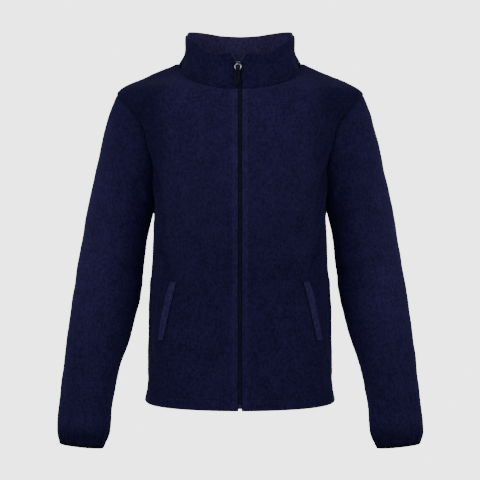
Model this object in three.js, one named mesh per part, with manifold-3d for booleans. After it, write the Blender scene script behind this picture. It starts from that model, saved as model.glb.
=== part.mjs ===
// A fleece zip jacket, hollow, in the form it has when it is worn.
// Millimetres, +Z up, front towards -Y. The origin is the middle of the neck's base, between the
// highest points of the shoulders. "Left" and "right" are a viewer's, so left pieces lie at -X.

import * as THREE from 'three';
import Module from 'manifold-3d';
import { mergeVertices } from 'three/addons/utils/BufferGeometryUtils.js';

const wasm = await Module();
wasm.setup();

// Driving sizes
const CLOTH = 2.2;
const SEAM_GAP = 0.3;
const HEM_TURN = 19;
const HEM_EDGE = 1.2;
const FRONT_EDGE = 3;
const COLLAR_WALL = 4.4;
const SQUARENESS = 2.4;
const RIGHT_ANGLE = Math.PI / 2;

// Horizontal sections of the body from hem to neck: half width, depth in front of and behind the
// middle plane, and the angle from centre front at which the side seam runs.
const TORSO = [
  { z: -667, width: 187, front: 129, back: 125, seam: 78 },
  { z: -655, width: 184, front: 128, back: 124, seam: 78 },
  { z: -640, width: 181, front: 127, back: 123, seam: 78 },
  { z: -600, width: 178, front: 125, back: 119, seam: 78 },
  { z: -522, width: 175.5, front: 121, back: 111, seam: 78 },
  { z: -464, width: 174.5, front: 119, back: 107, seam: 78 },
  { z: -366, width: 170, front: 125, back: 112, seam: 80 },
  { z: -308, width: 167, front: 130, back: 119, seam: 85 },
  { z: -272, width: 167, front: 132, back: 123, seam: 90 },
  { z: -252, width: 171, front: 132, back: 124, seam: 90 },
  { z: -204, width: 184, front: 129, back: 125, seam: 90 },
  { z: -168, width: 201, front: 124, back: 124, seam: 90 },
  { z: -120, width: 220, front: 114, back: 118, seam: 90 },
  { z: -90, width: 232, front: 105, back: 110, seam: 90 },
  { z: -65, width: 240, front: 94, back: 100, seam: 90 },
  { z: -50.6, width: 226, front: 78, back: 93, seam: 90 },
  { z: -27, width: 175.5, front: 42, back: 80, seam: 90 },
  { z: -3, width: 121, front: 12, back: 64, seam: 90 },
  { z: 12, width: 90, front: 5, back: 50, seam: 90 },
];
const SHOULDER_TIP = { x: 240, z: -65 };
const ARMPIT = { x: 167, z: -272 };
const ARMHOLE_MIDDLE = { x: 225, z: -168 };
const HEM_SIDE = -657;
const HEM_FRONT_DROP = 9;
const NECK_SIDE = -3;
const NECK_FRONT_DROP = 59;
const NECK_BACK_DROP = 3;
const SCOOP = { front: 32, back: 24, high: 0.35 };

// Rings of a sleeve from shoulder to wrist, seen from the front: the outer and the inner end of
// each ring, its half depth, and how far its middle lies in front of or behind the shoulder.
const SLEEVE = [
  { outer_x: 250.5, outer_z: -90, inner_x: 168.6, inner_z: -281, depth: 71, y: 0 },
  { outer_x: 261, outer_z: -125, inner_x: 170, inner_z: -290, depth: 70, y: 1 },
  { outer_x: 272, outer_z: -167, inner_x: 172, inner_z: -303, depth: 69, y: 2 },
  { outer_x: 283, outer_z: -222, inner_x: 176.5, inner_z: -323, depth: 67.5, y: 3 },
  { outer_x: 294.5, outer_z: -270, inner_x: 181, inner_z: -347, depth: 66, y: 4 },
  { outer_x: 303, outer_z: -315, inner_x: 184.5, inner_z: -376, depth: 64, y: 5 },
  { outer_x: 311.5, outer_z: -365, inner_x: 188.5, inner_z: -408, depth: 62, y: 5 },
  { outer_x: 319.5, outer_z: -412, inner_x: 190.5, inner_z: -442, depth: 60, y: 3 },
  { outer_x: 326.5, outer_z: -458, inner_x: 199, inner_z: -481, depth: 58, y: -1 },
  { outer_x: 333, outer_z: -515, inner_x: 213.4, inner_z: -537, depth: 54, y: -8 },
  { outer_x: 340, outer_z: -569, inner_x: 230.7, inner_z: -588, depth: 49, y: -16 },
  { outer_x: 346.4, outer_z: -637, inner_x: 244.3, inner_z: -652, depth: 43, y: -25 },
  { outer_x: 351.4, outer_z: -686, inner_x: 249, inner_z: -699, depth: 38, y: -32 },
  { outer_x: 352, outer_z: -713, inner_x: 252, inner_z: -721, depth: 33, y: -37 },
  { outer_x: 347, outer_z: -731.6, inner_x: 260, inner_z: -740, depth: 24, y: -41 },
];
const CUFF = [
  { outer_x: 346.9, outer_z: -732, inner_x: 260.1, inner_z: -740.4, depth: 23.9, y: -41 },
  { outer_x: 346.7, outer_z: -734, inner_x: 261, inner_z: -742.2, depth: 23.7, y: -41.3 },
  { outer_x: 344.8, outer_z: -738.6, inner_x: 263, inner_z: -747, depth: 22.6, y: -42 },
];
const CUFF_WALL = 3.4;
const CUFF_PROUD = 0.6;
const GATHERS = 12;
const GATHER_DEPTH = 1.3;
const GATHER_START = -700;
const GATHER_REACH = 30;

// The collar: how far it leans in from its base at each height, and the height of its upper edge
// by degrees from centre front.
const COLLAR_RISE = [
  { rise: 0, lean: 0 },
  { rise: 0.12, lean: 0.3 },
  { rise: 0.3, lean: 0.67 },
  { rise: 0.57, lean: 0.82 },
  { rise: 0.78, lean: 0.92 },
  { rise: 0.95, lean: 0.99 },
  { rise: 1, lean: 1 },
];
const COLLAR_LEAN = { side: 18, front: -1, back: 4 };
const COLLAR_EDGE = [
  { degrees: 0, top: 5 },
  { degrees: 31, top: 5 },
  { degrees: 40, top: 13.5 },
  { degrees: 50, top: 26.5 },
  { degrees: 60, top: 36.5 },
  { degrees: 75, top: 46 },
  { degrees: 88, top: 53.5 },
  { degrees: 102, top: 61 },
  { degrees: 117, top: 63.5 },
  { degrees: 132, top: 62 },
  { degrees: 148, top: 59 },
  { degrees: 180, top: 57.5 },
];
const COLLAR_TROUGH = { rise: 0.6, reach: 0.2, depth: 1.6, endCosine: -0.2, fullCosine: 0.3 };
const COLLAR_OPENING = { from: 0.74, to: 1.1, left: 11, right: 16, reach: 36, forward: 5 };
const SLIDER_ROOM = { width: 2.4, from: 0.3, to: 0.57 };
const SLIDER_SHIFT = { from: 0.1, to: 0.6 };
const NECK_MIDDLE = -15;

// The largest folds of the body and of a sleeve. Each runs from one point to another, is a trough
// where its depth is negative, and lies on one side only where it has a side. Body angles are
// degrees from centre front, sleeve angles degrees from the ring's outer end towards the front.
const BODY_FOLDS = [
  { angle0: 62, z0: -222, angle1: 47, z1: -425, width: 13, depth: -4.5 },
  { angle0: 68, z0: -262, angle1: 56, z1: -400, width: 12, depth: 3 },
  { angle0: 54, z0: -120, angle1: 50, z1: -200, width: 16, depth: -4 },
  { angle0: 75, z0: -400, angle1: 73, z1: -560, width: 9, depth: -2.5 },
  { angle0: 84, z0: -430, angle1: 82, z1: -600, width: 10, depth: 2.5 },
  { angle0: 40, z0: -586, angle1: 66, z1: -578, width: 7, depth: -2, side: 1 },
  { angle0: 56, z0: -583, angle1: 68, z1: -576, width: 7, depth: -2, side: -1 },
  { angle0: 122, z0: -205, angle1: 136, z1: -420, width: 16, depth: -5 },
  { angle0: 110, z0: -262, angle1: 122, z1: -470, width: 14, depth: 3.5 },
  { angle0: 150, z0: -300, angle1: 156, z1: -560, width: 18, depth: -3.5, side: 1 },
  { angle0: 144, z0: -330, angle1: 148, z1: -610, width: 17, depth: -3.5, side: -1 },
  { angle0: 128, z0: -470, angle1: 168, z1: -450, width: 13, depth: -2.5 },
];
const SLEEVE_FOLDS = [
  { angle0: 62, z0: -135, angle1: 128, z1: -265, width: 12, depth: -5 },
  { angle0: 86, z0: -150, angle1: 140, z1: -258, width: 10, depth: 3 },
  { angle0: 88, z0: -250, angle1: 92, z1: -350, width: 13, depth: -2.5 },
  { angle0: 80, z0: -388, angle1: 165, z1: -415, width: 12, depth: -4 },
  { angle0: 100, z0: -440, angle1: 178, z1: -452, width: 11, depth: -3 },
  { angle0: 70, z0: -560, angle1: 120, z1: -640, width: 11, depth: -2.5 },
  { angle0: 300, z0: -140, angle1: 235, z1: -270, width: 13, depth: -5 },
  { angle0: 282, z0: -400, angle1: 200, z1: -430, width: 13, depth: -4 },
  { angle0: 290, z0: -520, angle1: 250, z1: -640, width: 12, depth: -2.5 },
];
const ROUND_BODY = 150;
const ROUND_SLEEVE = 62;
const FOLD_FADE = { zipFrom: 0.08, zipTo: 0.3, backReach: 0.1, sleeveRings: 1.5 };

// Pockets: the welt's line in degrees from centre front and height, and the rows and columns of
// the front panel that the bag lies behind.
const WELT = { angle0: 43.5, z0: -426, angle1: 54, z1: -537, width: 16, thick: 2, lift: 0.7 };
const WELT_GRID = { rows: 12, columns: 3 };
const BAG = { firstRow: 5, lastRow: 12, firstColumn: 4, lastColumn: 11, gap: 0.4, thick: 1.2 };

// The zip, with its teeth as one plain band
const CHAIN = { half: 2.7, proud: 0.2, deep: 2.2, gap: 0.3 };
const CHAIN_TOP = { front: 0.25, behind: 0.75 };
const TAPE = { inner: 0.4, outer: 15, thick: 1, end: 0.85, ease: 1 };
const BOX = { half: 2.7, bottom: -661.8, top: -653, proud: 1, deep: 3.2, clear: 2 };
const SLIDER = { x: -3.5, z: -16, wide: 9.2, narrow: 7, top: 6, bottom: 7, corner: 1.6 };
const SLIDER_FACES = { proud: 2.4, deep: 3 };
const BRIDGE = { width: 2.4, length: 8, reach: 3.5, wall: 1, foot: 0.5, corner: 1.5, rise: 1 };
const RING = { radius: 5.7, wire: 0.75, clear: 0.4, sides: 10, steps: 36 };
const TAB = { width: 11.5, taper: 1.5, length: 31, thick: 3.4, corner: 2.6, tilt: 5, above: 2.1 };
const CURVE_STEPS = 4;

// Finishes
const FLEECE = { color: 0x15152d, roughness: 0.95, metalness: 0 };
const TRIM = { color: 0x0e0d22, roughness: 0.9, metalness: 0 };
const TEETH = { color: 0x101022, roughness: 0.45, metalness: 0 };
const PAINTED = { color: 0x14141f, roughness: 0.4, metalness: 0 };
const STEEL = { color: 0xb9bcc2, roughness: 0.3, metalness: 1 };
const GRIP = { color: 0x101024, roughness: 0.5, metalness: 0 };

// A smooth curve through one column of a table, read at a place between its rows.
function readTable(table, key, name, at) {
  let row = 0;
  while (row < table.length - 2 && table[row + 1][key] < at) row += 1;
  const slope = (index) => {
    const before = table[Math.max(index - 1, 0)];
    const after = table[Math.min(index + 1, table.length - 1)];
    return (after[name] - before[name]) / (after[key] - before[key]);
  };
  const low = table[row];
  const high = table[row + 1];
  const span = high[key] - low[key];
  const t = THREE.MathUtils.clamp((at - low[key]) / span, 0, 1);
  const rest = 1 - t;
  return low[name] * rest * rest * (1 + 2 * t) + high[name] * t * t * (3 - 2 * t)
    + span * (slope(row) * t * rest * rest - slope(row + 1) * t * t * rest);
}

const smooth = THREE.MathUtils.smoothstep;
const mix = THREE.MathUtils.lerp;
const degrees = THREE.MathUtils.degToRad;

// The height of all folds at a point, given in millimetres round and up the piece.
function foldHeight(folds, round, radius, z, side) {
  let height = 0;
  for (const fold of folds) {
    if (fold.side && fold.side !== side) continue;
    const startAround = degrees(fold.angle0) * radius;
    const runAround = degrees(fold.angle1) * radius - startAround;
    const runUp = fold.z1 - fold.z0;
    const around = round * radius - startAround;
    const up = z - fold.z0;
    const share = (around * runAround + up * runUp) / (runAround * runAround + runUp * runUp);
    const near = THREE.MathUtils.clamp(share, 0, 1);
    const away = Math.hypot(around - near * runAround, up - near * runUp);
    height += fold.depth * Math.exp(-((away / fold.width) ** 2));
  }
  return height;
}

// Superellipse: sine and cosine of an angle, stretched out to the rounded square.
function squareRound(angle) {
  const s = Math.sin(angle);
  const c = Math.cos(angle);
  const stretch = (Math.abs(s) ** SQUARENESS + Math.abs(c) ** SQUARENESS) ** (-1 / SQUARENESS);
  return { s: s * stretch, c: c * stretch };
}

function plainTorso(angle, z) {
  const { s, c } = squareRound(angle);
  const depth = readTable(TORSO, 'z', c > 0 ? 'front' : 'back', z);
  return new THREE.Vector3(readTable(TORSO, 'z', 'width', z) * s, -depth * c, z);
}

// The normal of a surface given as a function of two numbers, from a step each way along both.
const STEPS = {
  plainTorso: [0.002, 0.5],
  torso: [0.004, 0.8],
  plainSleeve: [0.01, 0.01],
  sleeve: [0.02, 0.02],
  plainCollar: [0.004, 0.004],
  collar: [0.01, 0.01],
};

function normalOf(surface, a, b, [stepA, stepB]) {
  const alongA = surface(a + stepA, b).sub(surface(a - stepA, b));
  const alongB = surface(a, b + stepB).sub(surface(a, b - stepB));
  return alongA.cross(alongB).normalize();
}

// The body's outer face with its folds. The angle is negative at -X.
function torso(angle, z) {
  const point = plainTorso(angle, z);
  const normal = normalOf(plainTorso, angle, z, STEPS.plainTorso);
  const fade = smooth(Math.abs(angle), FOLD_FADE.zipFrom, FOLD_FADE.zipTo)
    * smooth(Math.PI - Math.abs(angle), 0, FOLD_FADE.backReach);
  const height = foldHeight(BODY_FOLDS, Math.abs(angle), ROUND_BODY, z, Math.sign(angle));
  return point.addScaledVector(normal, height * fade);
}

function torsoNormal(angle, z) {
  return normalOf(torso, angle, z, STEPS.torso);
}

// The angle at which a section of the body has a given distance from the middle plane.
function angleAtX(x, z) {
  const s = x / readTable(TORSO, 'z', 'width', z);
  return Math.atan2(s, (1 - s ** SQUARENESS) ** (1 / SQUARENESS));
}

function neckline(angle) {
  const c = Math.cos(angle);
  const drop = c > 0 ? NECK_FRONT_DROP * c ** 4 : NECK_BACK_DROP * c * c;
  return { angle, z: NECK_SIDE - drop };
}

function hemline(angle) {
  return HEM_SIDE - HEM_FRONT_DROP * Math.max(Math.cos(angle), 0);
}

// The armhole, from the shoulder tip (turn 0) down to the armpit (turn PI), before or behind.
function armhole(turn, behind) {
  const z = mix(SHOULDER_TIP.z, ARMPIT.z, (1 - Math.cos(turn)) / 2);
  const scoop = degrees(behind ? SCOOP.back : SCOOP.front);
  const dip = scoop * Math.sin(turn) * (1 + SCOOP.high * Math.cos(turn));
  return { angle: RIGHT_ANGLE + (behind ? dip : -dip), z };
}

const NECK_STEPS = 7;
const SHOULDER_STEPS = 6;
const SIDE_STEPS = 13;
const ARMHOLE_STEPS = 12;
const PANEL_COLUMNS = NECK_STEPS + SHOULDER_STEPS;
const PANEL_ROWS = SIDE_STEPS + ARMHOLE_STEPS;
const SHOULDER_START = 0.68;

// One quarter of the body as a grid of angles and heights. Its columns run from the centre to the
// side seam and armhole, its rows from the top of the hem's turn-up to the neckline and shoulder.
function quarterGrid(behind) {
  const centre = (z) => (behind ? Math.PI : angleAtX(FRONT_EDGE, z));
  const hemTop = (angle) => hemline(angle) + HEM_TURN + HEM_EDGE;
  const neckMiddle = neckline(centre(NECK_SIDE - NECK_FRONT_DROP));
  const top = (column) => {
    if (column <= NECK_STEPS) return neckline(mix(neckMiddle.angle, RIGHT_ANGLE, column / NECK_STEPS));
    const share = (column - NECK_STEPS) / SHOULDER_STEPS;
    return { angle: RIGHT_ANGLE, z: mix(NECK_SIDE, SHOULDER_TIP.z, share) };
  };
  const edge = (row) => {
    if (row > SIDE_STEPS) return armhole(Math.PI * (1 - (row - SIDE_STEPS) / ARMHOLE_STEPS), behind);
    const z = mix(hemTop(degrees(TORSO[0].seam)), ARMPIT.z, row / SIDE_STEPS);
    return { angle: degrees(readTable(TORSO, 'z', 'seam', z)), z };
  };
  const grid = [];
  for (let row = 0; row <= PANEL_ROWS; row += 1) {
    const middleZ = mix(hemTop(centre(HEM_SIDE)), neckMiddle.z, row / PANEL_ROWS);
    const lift = Math.max((row / PANEL_ROWS - SHOULDER_START) / (1 - SHOULDER_START), 0) ** 2;
    const line = [];
    for (let column = 0; column <= PANEL_COLUMNS; column += 1) {
      const u = column / PANEL_COLUMNS;
      const plainAngle = mix(neckMiddle.angle, RIGHT_ANGLE, u);
      const plainZ = mix(neckMiddle.z, SHOULDER_TIP.z, u);
      const angle = mix(centre(middleZ), edge(row).angle, u) + lift * (top(column).angle - plainAngle);
      const z = mix(middleZ, edge(row).z, u) + lift * (top(column).z - plainZ);
      line.push({ angle, z: row > 0 ? z : hemTop(angle) });
    }
    grid.push(line);
  }
  const hemRow = (rise) => grid[0].map(({ angle }) => ({ angle, z: hemline(angle) + rise }));
  return [hemRow(0), hemRow(HEM_EDGE), hemRow(HEM_TURN), ...grid];
}

const HEM_ROWS = 3;
const SEAM_STEP = 0.03;
const COLLAR_STEP = 0.011;
const INTO_SLEEVE = 0.4;
const INTO_COLLAR = 0.1;

// A cell's corners, from one where its shorter diagonal starts.
function cellCorners(row, column, place) {
  const corners = [[row, column], [row, column + 1], [row + 1, column + 1], [row + 1, column]];
  const [a, b, c, d] = corners.map(([line, at]) => place(line, at));
  if (a.distanceTo(c) > b.distanceTo(d)) corners.push(corners.shift());
  return corners;
}

// A closed wall between an outer and an inner grid of points. A ring's columns close on themselves.
// Each cell is split along the shorter diagonal of the guide's cell.
function wall(outer, inner, ring = false, guide = outer) {
  const rows = outer.length;
  const columns = outer[0].length;
  const points = [...outer.flat(), ...inner.flat()];
  const at = (layer, row, column) => (layer * rows + row) * columns + (column % columns);
  const faces = [];
  const quad = (a, b, c, d) => faces.push(a, b, c, a, c, d);
  const lastColumn = ring ? columns : columns - 1;
  for (let row = 0; row < rows - 1; row += 1) {
    for (let column = 0; column < lastColumn; column += 1) {
      const corners = cellCorners(row, column, (line, place) => guide[line][place % columns]);
      quad(...corners.map((corner) => at(0, ...corner)));
      quad(...[0, 3, 2, 1].map((i) => at(1, ...corners[i])));
    }
  }
  // An end face is split from its higher outer corner, so that both sides of a seam match.
  const endFace = (outerA, outerB, innerB, innerA) => {
    if (points[outerA].z > points[outerB].z) quad(outerA, outerB, innerB, innerA);
    else quad(outerB, innerB, innerA, outerA);
  };
  for (let column = 0; column < lastColumn; column += 1) {
    endFace(at(0, 0, column + 1), at(0, 0, column), at(1, 0, column), at(1, 0, column + 1));
    endFace(at(0, rows - 1, column), at(0, rows - 1, column + 1), at(1, rows - 1, column + 1),
      at(1, rows - 1, column));
  }
  for (let row = 0; row < rows - 1 && !ring; row += 1) {
    endFace(at(0, row, 0), at(0, row + 1, 0), at(1, row + 1, 0), at(1, row, 0));
    endFace(at(0, row + 1, columns - 1), at(0, row, columns - 1), at(1, row, columns - 1),
      at(1, row + 1, columns - 1));
  }
  return outward(points, faces);
}

// A mesh whose faces point out, from points and triples of indices.
function outward(points, faces) {
  let volume = 0;
  for (let i = 0; i < faces.length; i += 3) {
    const [a, b, c] = [points[faces[i]], points[faces[i + 1]], points[faces[i + 2]]];
    volume += a.dot(b.clone().cross(c));
  }
  if (volume < 0) faces.reverse();
  const geometry = new THREE.BufferGeometry().setFromPoints(points);
  geometry.setIndex(faces);
  geometry.computeVertexNormals();
  return geometry;
}

// Where two pieces meet at a seam, each steps back from the other. Where the outer faces form a
// ridge, both walls end on the plane between them.
function seamEnd(own, other) {
  const into = own.into.clone().sub(other.into);
  const turn = own.normal.clone().sub(other.normal);
  const shift = into.clone().sub(turn).normalize().multiplyScalar(SEAM_GAP / 2);
  const ridge = into.dot(turn) > 0;
  const normal = ridge ? own.normal.clone().add(other.normal).normalize() : own.normal.clone();
  return { shift, normal };
}

// The direction from a seam into a piece, square to the seam and to the piece's normal.
function intoPiece(normal, seam, towards) {
  const into = normal.clone().cross(seam).normalize();
  return into.dot(towards) < 0 ? into.negate() : into;
}

// Sleeves. The ring with index 0 is the armhole, and each later one is a row of the table.
function armholePoint(turn, side) {
  const behind = turn > Math.PI;
  const place = armhole(behind ? 2 * Math.PI - turn : turn, behind);
  return torso(place.angle * side, place.z);
}

function tableRing(row, turn, side) {
  const { outer_x: outerX, outer_z: outerZ, inner_x: innerX, inner_z: innerZ, depth, y } = row;
  const share = (1 - Math.cos(turn)) / 2;
  return new THREE.Vector3(mix(outerX, innerX, share) * side, y - depth * Math.sin(turn),
    mix(outerZ, innerZ, share));
}

function sleeveRing(index, turn, side) {
  if (index < 0) return armholePoint(turn, side).multiplyScalar(2).sub(sleeveRing(1, turn, side));
  if (index === 0) return armholePoint(turn, side);
  return tableRing(SLEEVE[Math.min(index, SLEEVE.length) - 1], turn, side);
}

function plainSleeve(turn, along, side) {
  const ring = Math.min(Math.floor(along), SLEEVE.length - 1);
  const t = along - ring;
  const wrapped = ((turn % (2 * Math.PI)) + 2 * Math.PI) % (2 * Math.PI);
  const knots = [-1, 0, 1, 2].map((step) => sleeveRing(ring + step, wrapped, side));
  const weights = [
    -t * (1 - t) ** 2,
    2 - 5 * t * t + 3 * t ** 3,
    t + 4 * t * t - 3 * t ** 3,
    -t * t * (1 - t),
  ];
  const point = new THREE.Vector3();
  knots.forEach((knot, i) => point.addScaledVector(knot, weights[i] / 2));
  return point;
}

function sleeve(turn, along, side) {
  const plain = (a, b) => plainSleeve(a, b, side);
  const point = plain(turn, along);
  const outside = normalOf(plain, turn, along, STEPS.plainSleeve).multiplyScalar(side);
  const wrapped = ((turn % (2 * Math.PI)) + 2 * Math.PI) % (2 * Math.PI);
  const fold = foldHeight(SLEEVE_FOLDS, wrapped, ROUND_SLEEVE, point.z, side)
    * smooth(along, 0, FOLD_FADE.sleeveRings);
  const pulled = smooth(GATHER_START - point.z, 0, GATHER_REACH);
  const gather = GATHER_DEPTH * pulled * Math.cos(GATHERS * turn);
  return point.addScaledVector(outside, fold + gather);
}

function sleeveNormal(turn, along, side) {
  return normalOf((a, b) => sleeve(a, b, side), turn, along, STEPS.sleeve).multiplyScalar(side);
}

// How far the zip swings to the slider's side at a rise of the collar.
function sliderShift(rise) {
  return SLIDER.x * smooth(rise, SLIDER_SHIFT.from, SLIDER_SHIFT.to);
}

// Collar. It stands on the neckline and is a function of the neckline's angle and the rise.
function plainCollar(angle, rise) {
  const base = neckline(Math.abs(angle));
  const foot = torso(angle, base.z);
  const { s, c } = squareRound(angle);
  const end = c > 0 ? COLLAR_LEAN.front : COLLAR_LEAN.back;
  const lean = mix(end, COLLAR_LEAN.side, s * s) * readTable(COLLAR_RISE, 'rise', 'lean', rise);
  const inward = new THREE.Vector3(-foot.x, NECK_MIDDLE - foot.y, 0).normalize();
  const round = THREE.MathUtils.radToDeg(Math.atan2(Math.abs(foot.x), -foot.y));
  const top = readTable(COLLAR_EDGE, 'degrees', 'top', round);
  const point = foot.addScaledVector(inward, lean);
  point.z = mix(base.z, top, rise);
  if (c < 0) return point;
  const near = Math.exp(-((point.x / COLLAR_OPENING.reach) ** 2));
  const open = smooth(rise, COLLAR_OPENING.from, COLLAR_OPENING.to) * near;
  const room = SLIDER_ROOM.width * smooth(rise, SLIDER_ROOM.from, SLIDER_ROOM.to) * near;
  const apart = angle < 0 ? -COLLAR_OPENING.left * open - room : COLLAR_OPENING.right * open + room;
  point.x += apart + sliderShift(rise) * near;
  point.y -= COLLAR_OPENING.forward * open;
  return point;
}

function collar(angle, rise) {
  const normal = normalOf(plainCollar, angle, rise, STEPS.plainCollar);
  const { rise: middle, reach, depth, endCosine, fullCosine } = COLLAR_TROUGH;
  const trough = depth * Math.exp(-(((rise - middle) / reach) ** 2));
  const share = smooth(Math.cos(angle), endCosine, fullCosine);
  return plainCollar(angle, rise).addScaledVector(normal, -trough * share);
}

function collarNormal(angle, rise) {
  return normalOf(collar, angle, rise, STEPS.collar);
}

// Both faces of a piece of cloth, from its outer points and the normals at them.
function faces(points, normals, thickness) {
  const inner = points.map((line, row) => line.map((point, column) => point.clone()
    .addScaledVector(normals[row][column], -thickness(row, column))));
  return { outer: points, inner };
}

// Rounds an edge of a wall: both faces of one row move halfway to its middle.
const HALFWAY = 0.5;
function roundEdge({ outer, inner }, row) {
  outer[row].forEach((point, column) => {
    const other = inner[row][column];
    const middle = point.clone().lerp(other, HALFWAY);
    point.lerp(middle, HALFWAY);
    other.lerp(middle, HALFWAY);
  });
}

// The two sides of a seam at one of its points, as the piece's normal and its direction inwards.
function armholeSeam(turn, side) {
  const seam = armholePoint(turn + SEAM_STEP, side).sub(armholePoint(turn - SEAM_STEP, side));
  const behind = turn > Math.PI;
  const place = armhole(behind ? 2 * Math.PI - turn : turn, behind);
  const point = torso(place.angle * side, place.z);
  const bodyNormal = torsoNormal(place.angle * side, place.z);
  const fromMiddle = point.clone().sub(new THREE.Vector3(ARMHOLE_MIDDLE.x * side, 0, ARMHOLE_MIDDLE.z));
  const normal = sleeveNormal(turn, 0, side);
  const down = sleeve(turn, INTO_SLEEVE, side).sub(sleeve(turn, 0, side));
  return {
    body: { normal: bodyNormal, into: intoPiece(bodyNormal, seam, fromMiddle) },
    sleeve: { normal, into: intoPiece(normal, seam, down) },
  };
}

function neckSeam(angle) {
  const sign = Math.sign(angle);
  const low = neckline(Math.abs(angle) - SEAM_STEP);
  const high = neckline(Math.abs(angle) + SEAM_STEP);
  const seam = torso(high.angle * sign, high.z).sub(torso(low.angle * sign, low.z));
  const bodyNormal = torsoNormal(angle, neckline(Math.abs(angle)).z);
  const normal = collarNormal(angle, COLLAR_STEP);
  const up = collar(angle, INTO_COLLAR).sub(collar(angle, 0));
  return {
    body: { normal: bodyNormal, into: intoPiece(bodyNormal, seam, new THREE.Vector3(0, 0, -1)) },
    collar: { normal, into: intoPiece(normal, seam, up) },
  };
}

// A seam between two pieces that go on smoothly into each other.
function smoothSeam(normal, seam, towards) {
  const own = { normal, into: intoPiece(normal, seam, towards) };
  return seamEnd(own, { normal, into: own.into.clone().negate() });
}

function bodyPanel(grid, { behind, side }) {
  const points = grid.map((line) => line.map(({ angle, z }) => torso(angle * side, z)));
  const normals = grid.map((line) => line.map(({ angle, z }) => torsoNormal(angle * side, z)));
  const last = { row: grid.length - 1, column: grid[0].length - 1 };
  const firstArmhole = HEM_ROWS + SIDE_STEPS;
  const ends = [];
  for (let row = 0; row <= firstArmhole; row += 1) {
    const point = points[row][last.column];
    const seam = points[Math.min(row + 1, firstArmhole)][last.column].clone()
      .sub(points[Math.max(row - 1, 0)][last.column]);
    const towards = points[row][last.column - 1].clone().sub(point);
    ends.push({ row, column: last.column, ...smoothSeam(normals[row][last.column], seam, towards) });
  }
  for (let row = firstArmhole; row <= last.row; row += 1) {
    const turn = Math.PI * (1 - (row - firstArmhole) / ARMHOLE_STEPS);
    const { body, sleeve: other } = armholeSeam(behind ? 2 * Math.PI - turn : turn, side);
    ends.push({ row, column: last.column, ...seamEnd(body, other) });
  }
  for (let column = 0; column <= NECK_STEPS; column += 1) {
    const { body, collar: other } = neckSeam(grid[last.row][column].angle * side);
    ends.push({ row: last.row, column, ...seamEnd(body, other) });
  }
  for (let column = NECK_STEPS; column <= last.column; column += 1) {
    const seam = torso(RIGHT_ANGLE * side, SHOULDER_TIP.z).sub(torso(RIGHT_ANGLE * side, NECK_SIDE));
    const towards = new THREE.Vector3(0, behind ? 1 : -1, 0);
    ends.push({ row: last.row, column, ...smoothSeam(normals[last.row][column], seam, towards) });
  }
  for (const { row, column, shift, normal } of ends) {
    points[row][column].add(shift);
    normals[row][column].copy(normal);
  }
  const panel = faces(points, normals, (row) => (row < HEM_ROWS ? 2 * CLOTH : CLOTH));
  roundEdge(panel, 0);
  return panel;
}

const group = new THREE.Group();

function add(name, geometry, finish, parent = group) {
  const mesh = new THREE.Mesh(geometry, new THREE.MeshStandardMaterial(finish));
  mesh.name = name;
  parent.add(mesh);
  return mesh;
}

const SIDES = [{ name: 'left', side: -1 }, { name: 'right', side: 1 }];
const frontQuarter = quarterGrid(false);
const backQuarter = quarterGrid(true);

// Front panels
const fronts = {};
for (const { name, side } of SIDES) {
  fronts[name] = bodyPanel(frontQuarter, { behind: false, side });
  add(`front_${name}`, wall(fronts[name].outer, fronts[name].inner), FLEECE);
}

// Back panel, both quarters joined down the centre
const backHalves = SIDES.map(({ side }) => bodyPanel(backQuarter, { behind: true, side }));
function joinHalves(layer) {
  return backHalves[0][layer].map((line, row) => [...line].reverse()
    .concat(backHalves[1][layer][row].slice(1)));
}
add('back', wall(joinHalves('outer'), joinHalves('inner')), FLEECE);

// Sleeves, each with its cuff
const AROUND = 2 * ARMHOLE_STEPS;
const SLEEVE_STATIONS = [0, 0.5, 1, 2, 3, 4, 4.5, 5, 5.5, 6, 6.5, 7, 7.5, 8, 8.5, 9, 9.5, 10, 10.5, 11, 12,
  12.6, 13.2, 14, 14.6, 15];
for (const { name, side } of SIDES) {
  const turns = Array.from({ length: AROUND }, (_, i) => (2 * Math.PI * i) / AROUND);
  const points = SLEEVE_STATIONS.map((along) => turns.map((turn) => sleeve(turn, along, side)));
  const normals = SLEEVE_STATIONS.map((along) => turns.map((turn) => sleeveNormal(turn, along, side)));
  turns.forEach((turn, i) => {
    const { body, sleeve: own } = armholeSeam(turn, side);
    const end = seamEnd(own, body);
    points[0][i].add(end.shift);
    normals[0][i].copy(end.normal);
  });
  const layers = faces(points, normals, () => CLOTH);
  add(`sleeve_${name}`, wall(layers.outer, layers.inner, true), FLEECE);

  const cuffPoints = CUFF.map((row) => turns.map((turn) => {
    const point = tableRing(row, turn, side);
    const away = new THREE.Vector3(Math.cos(turn) * side, -Math.sin(turn), 0);
    return point.addScaledVector(away, CUFF_PROUD);
  }));
  const cuffNormals = CUFF.map(() => turns.map((turn) => new THREE.Vector3(Math.cos(turn) * side,
    -Math.sin(turn), 0)));
  const cuff = faces(cuffPoints, cuffNormals, () => CUFF_WALL);
  roundEdge(cuff, CUFF.length - 1);
  add(`cuff_${name}`, wall(cuff.outer, cuff.inner, true), TRIM);
}

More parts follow.
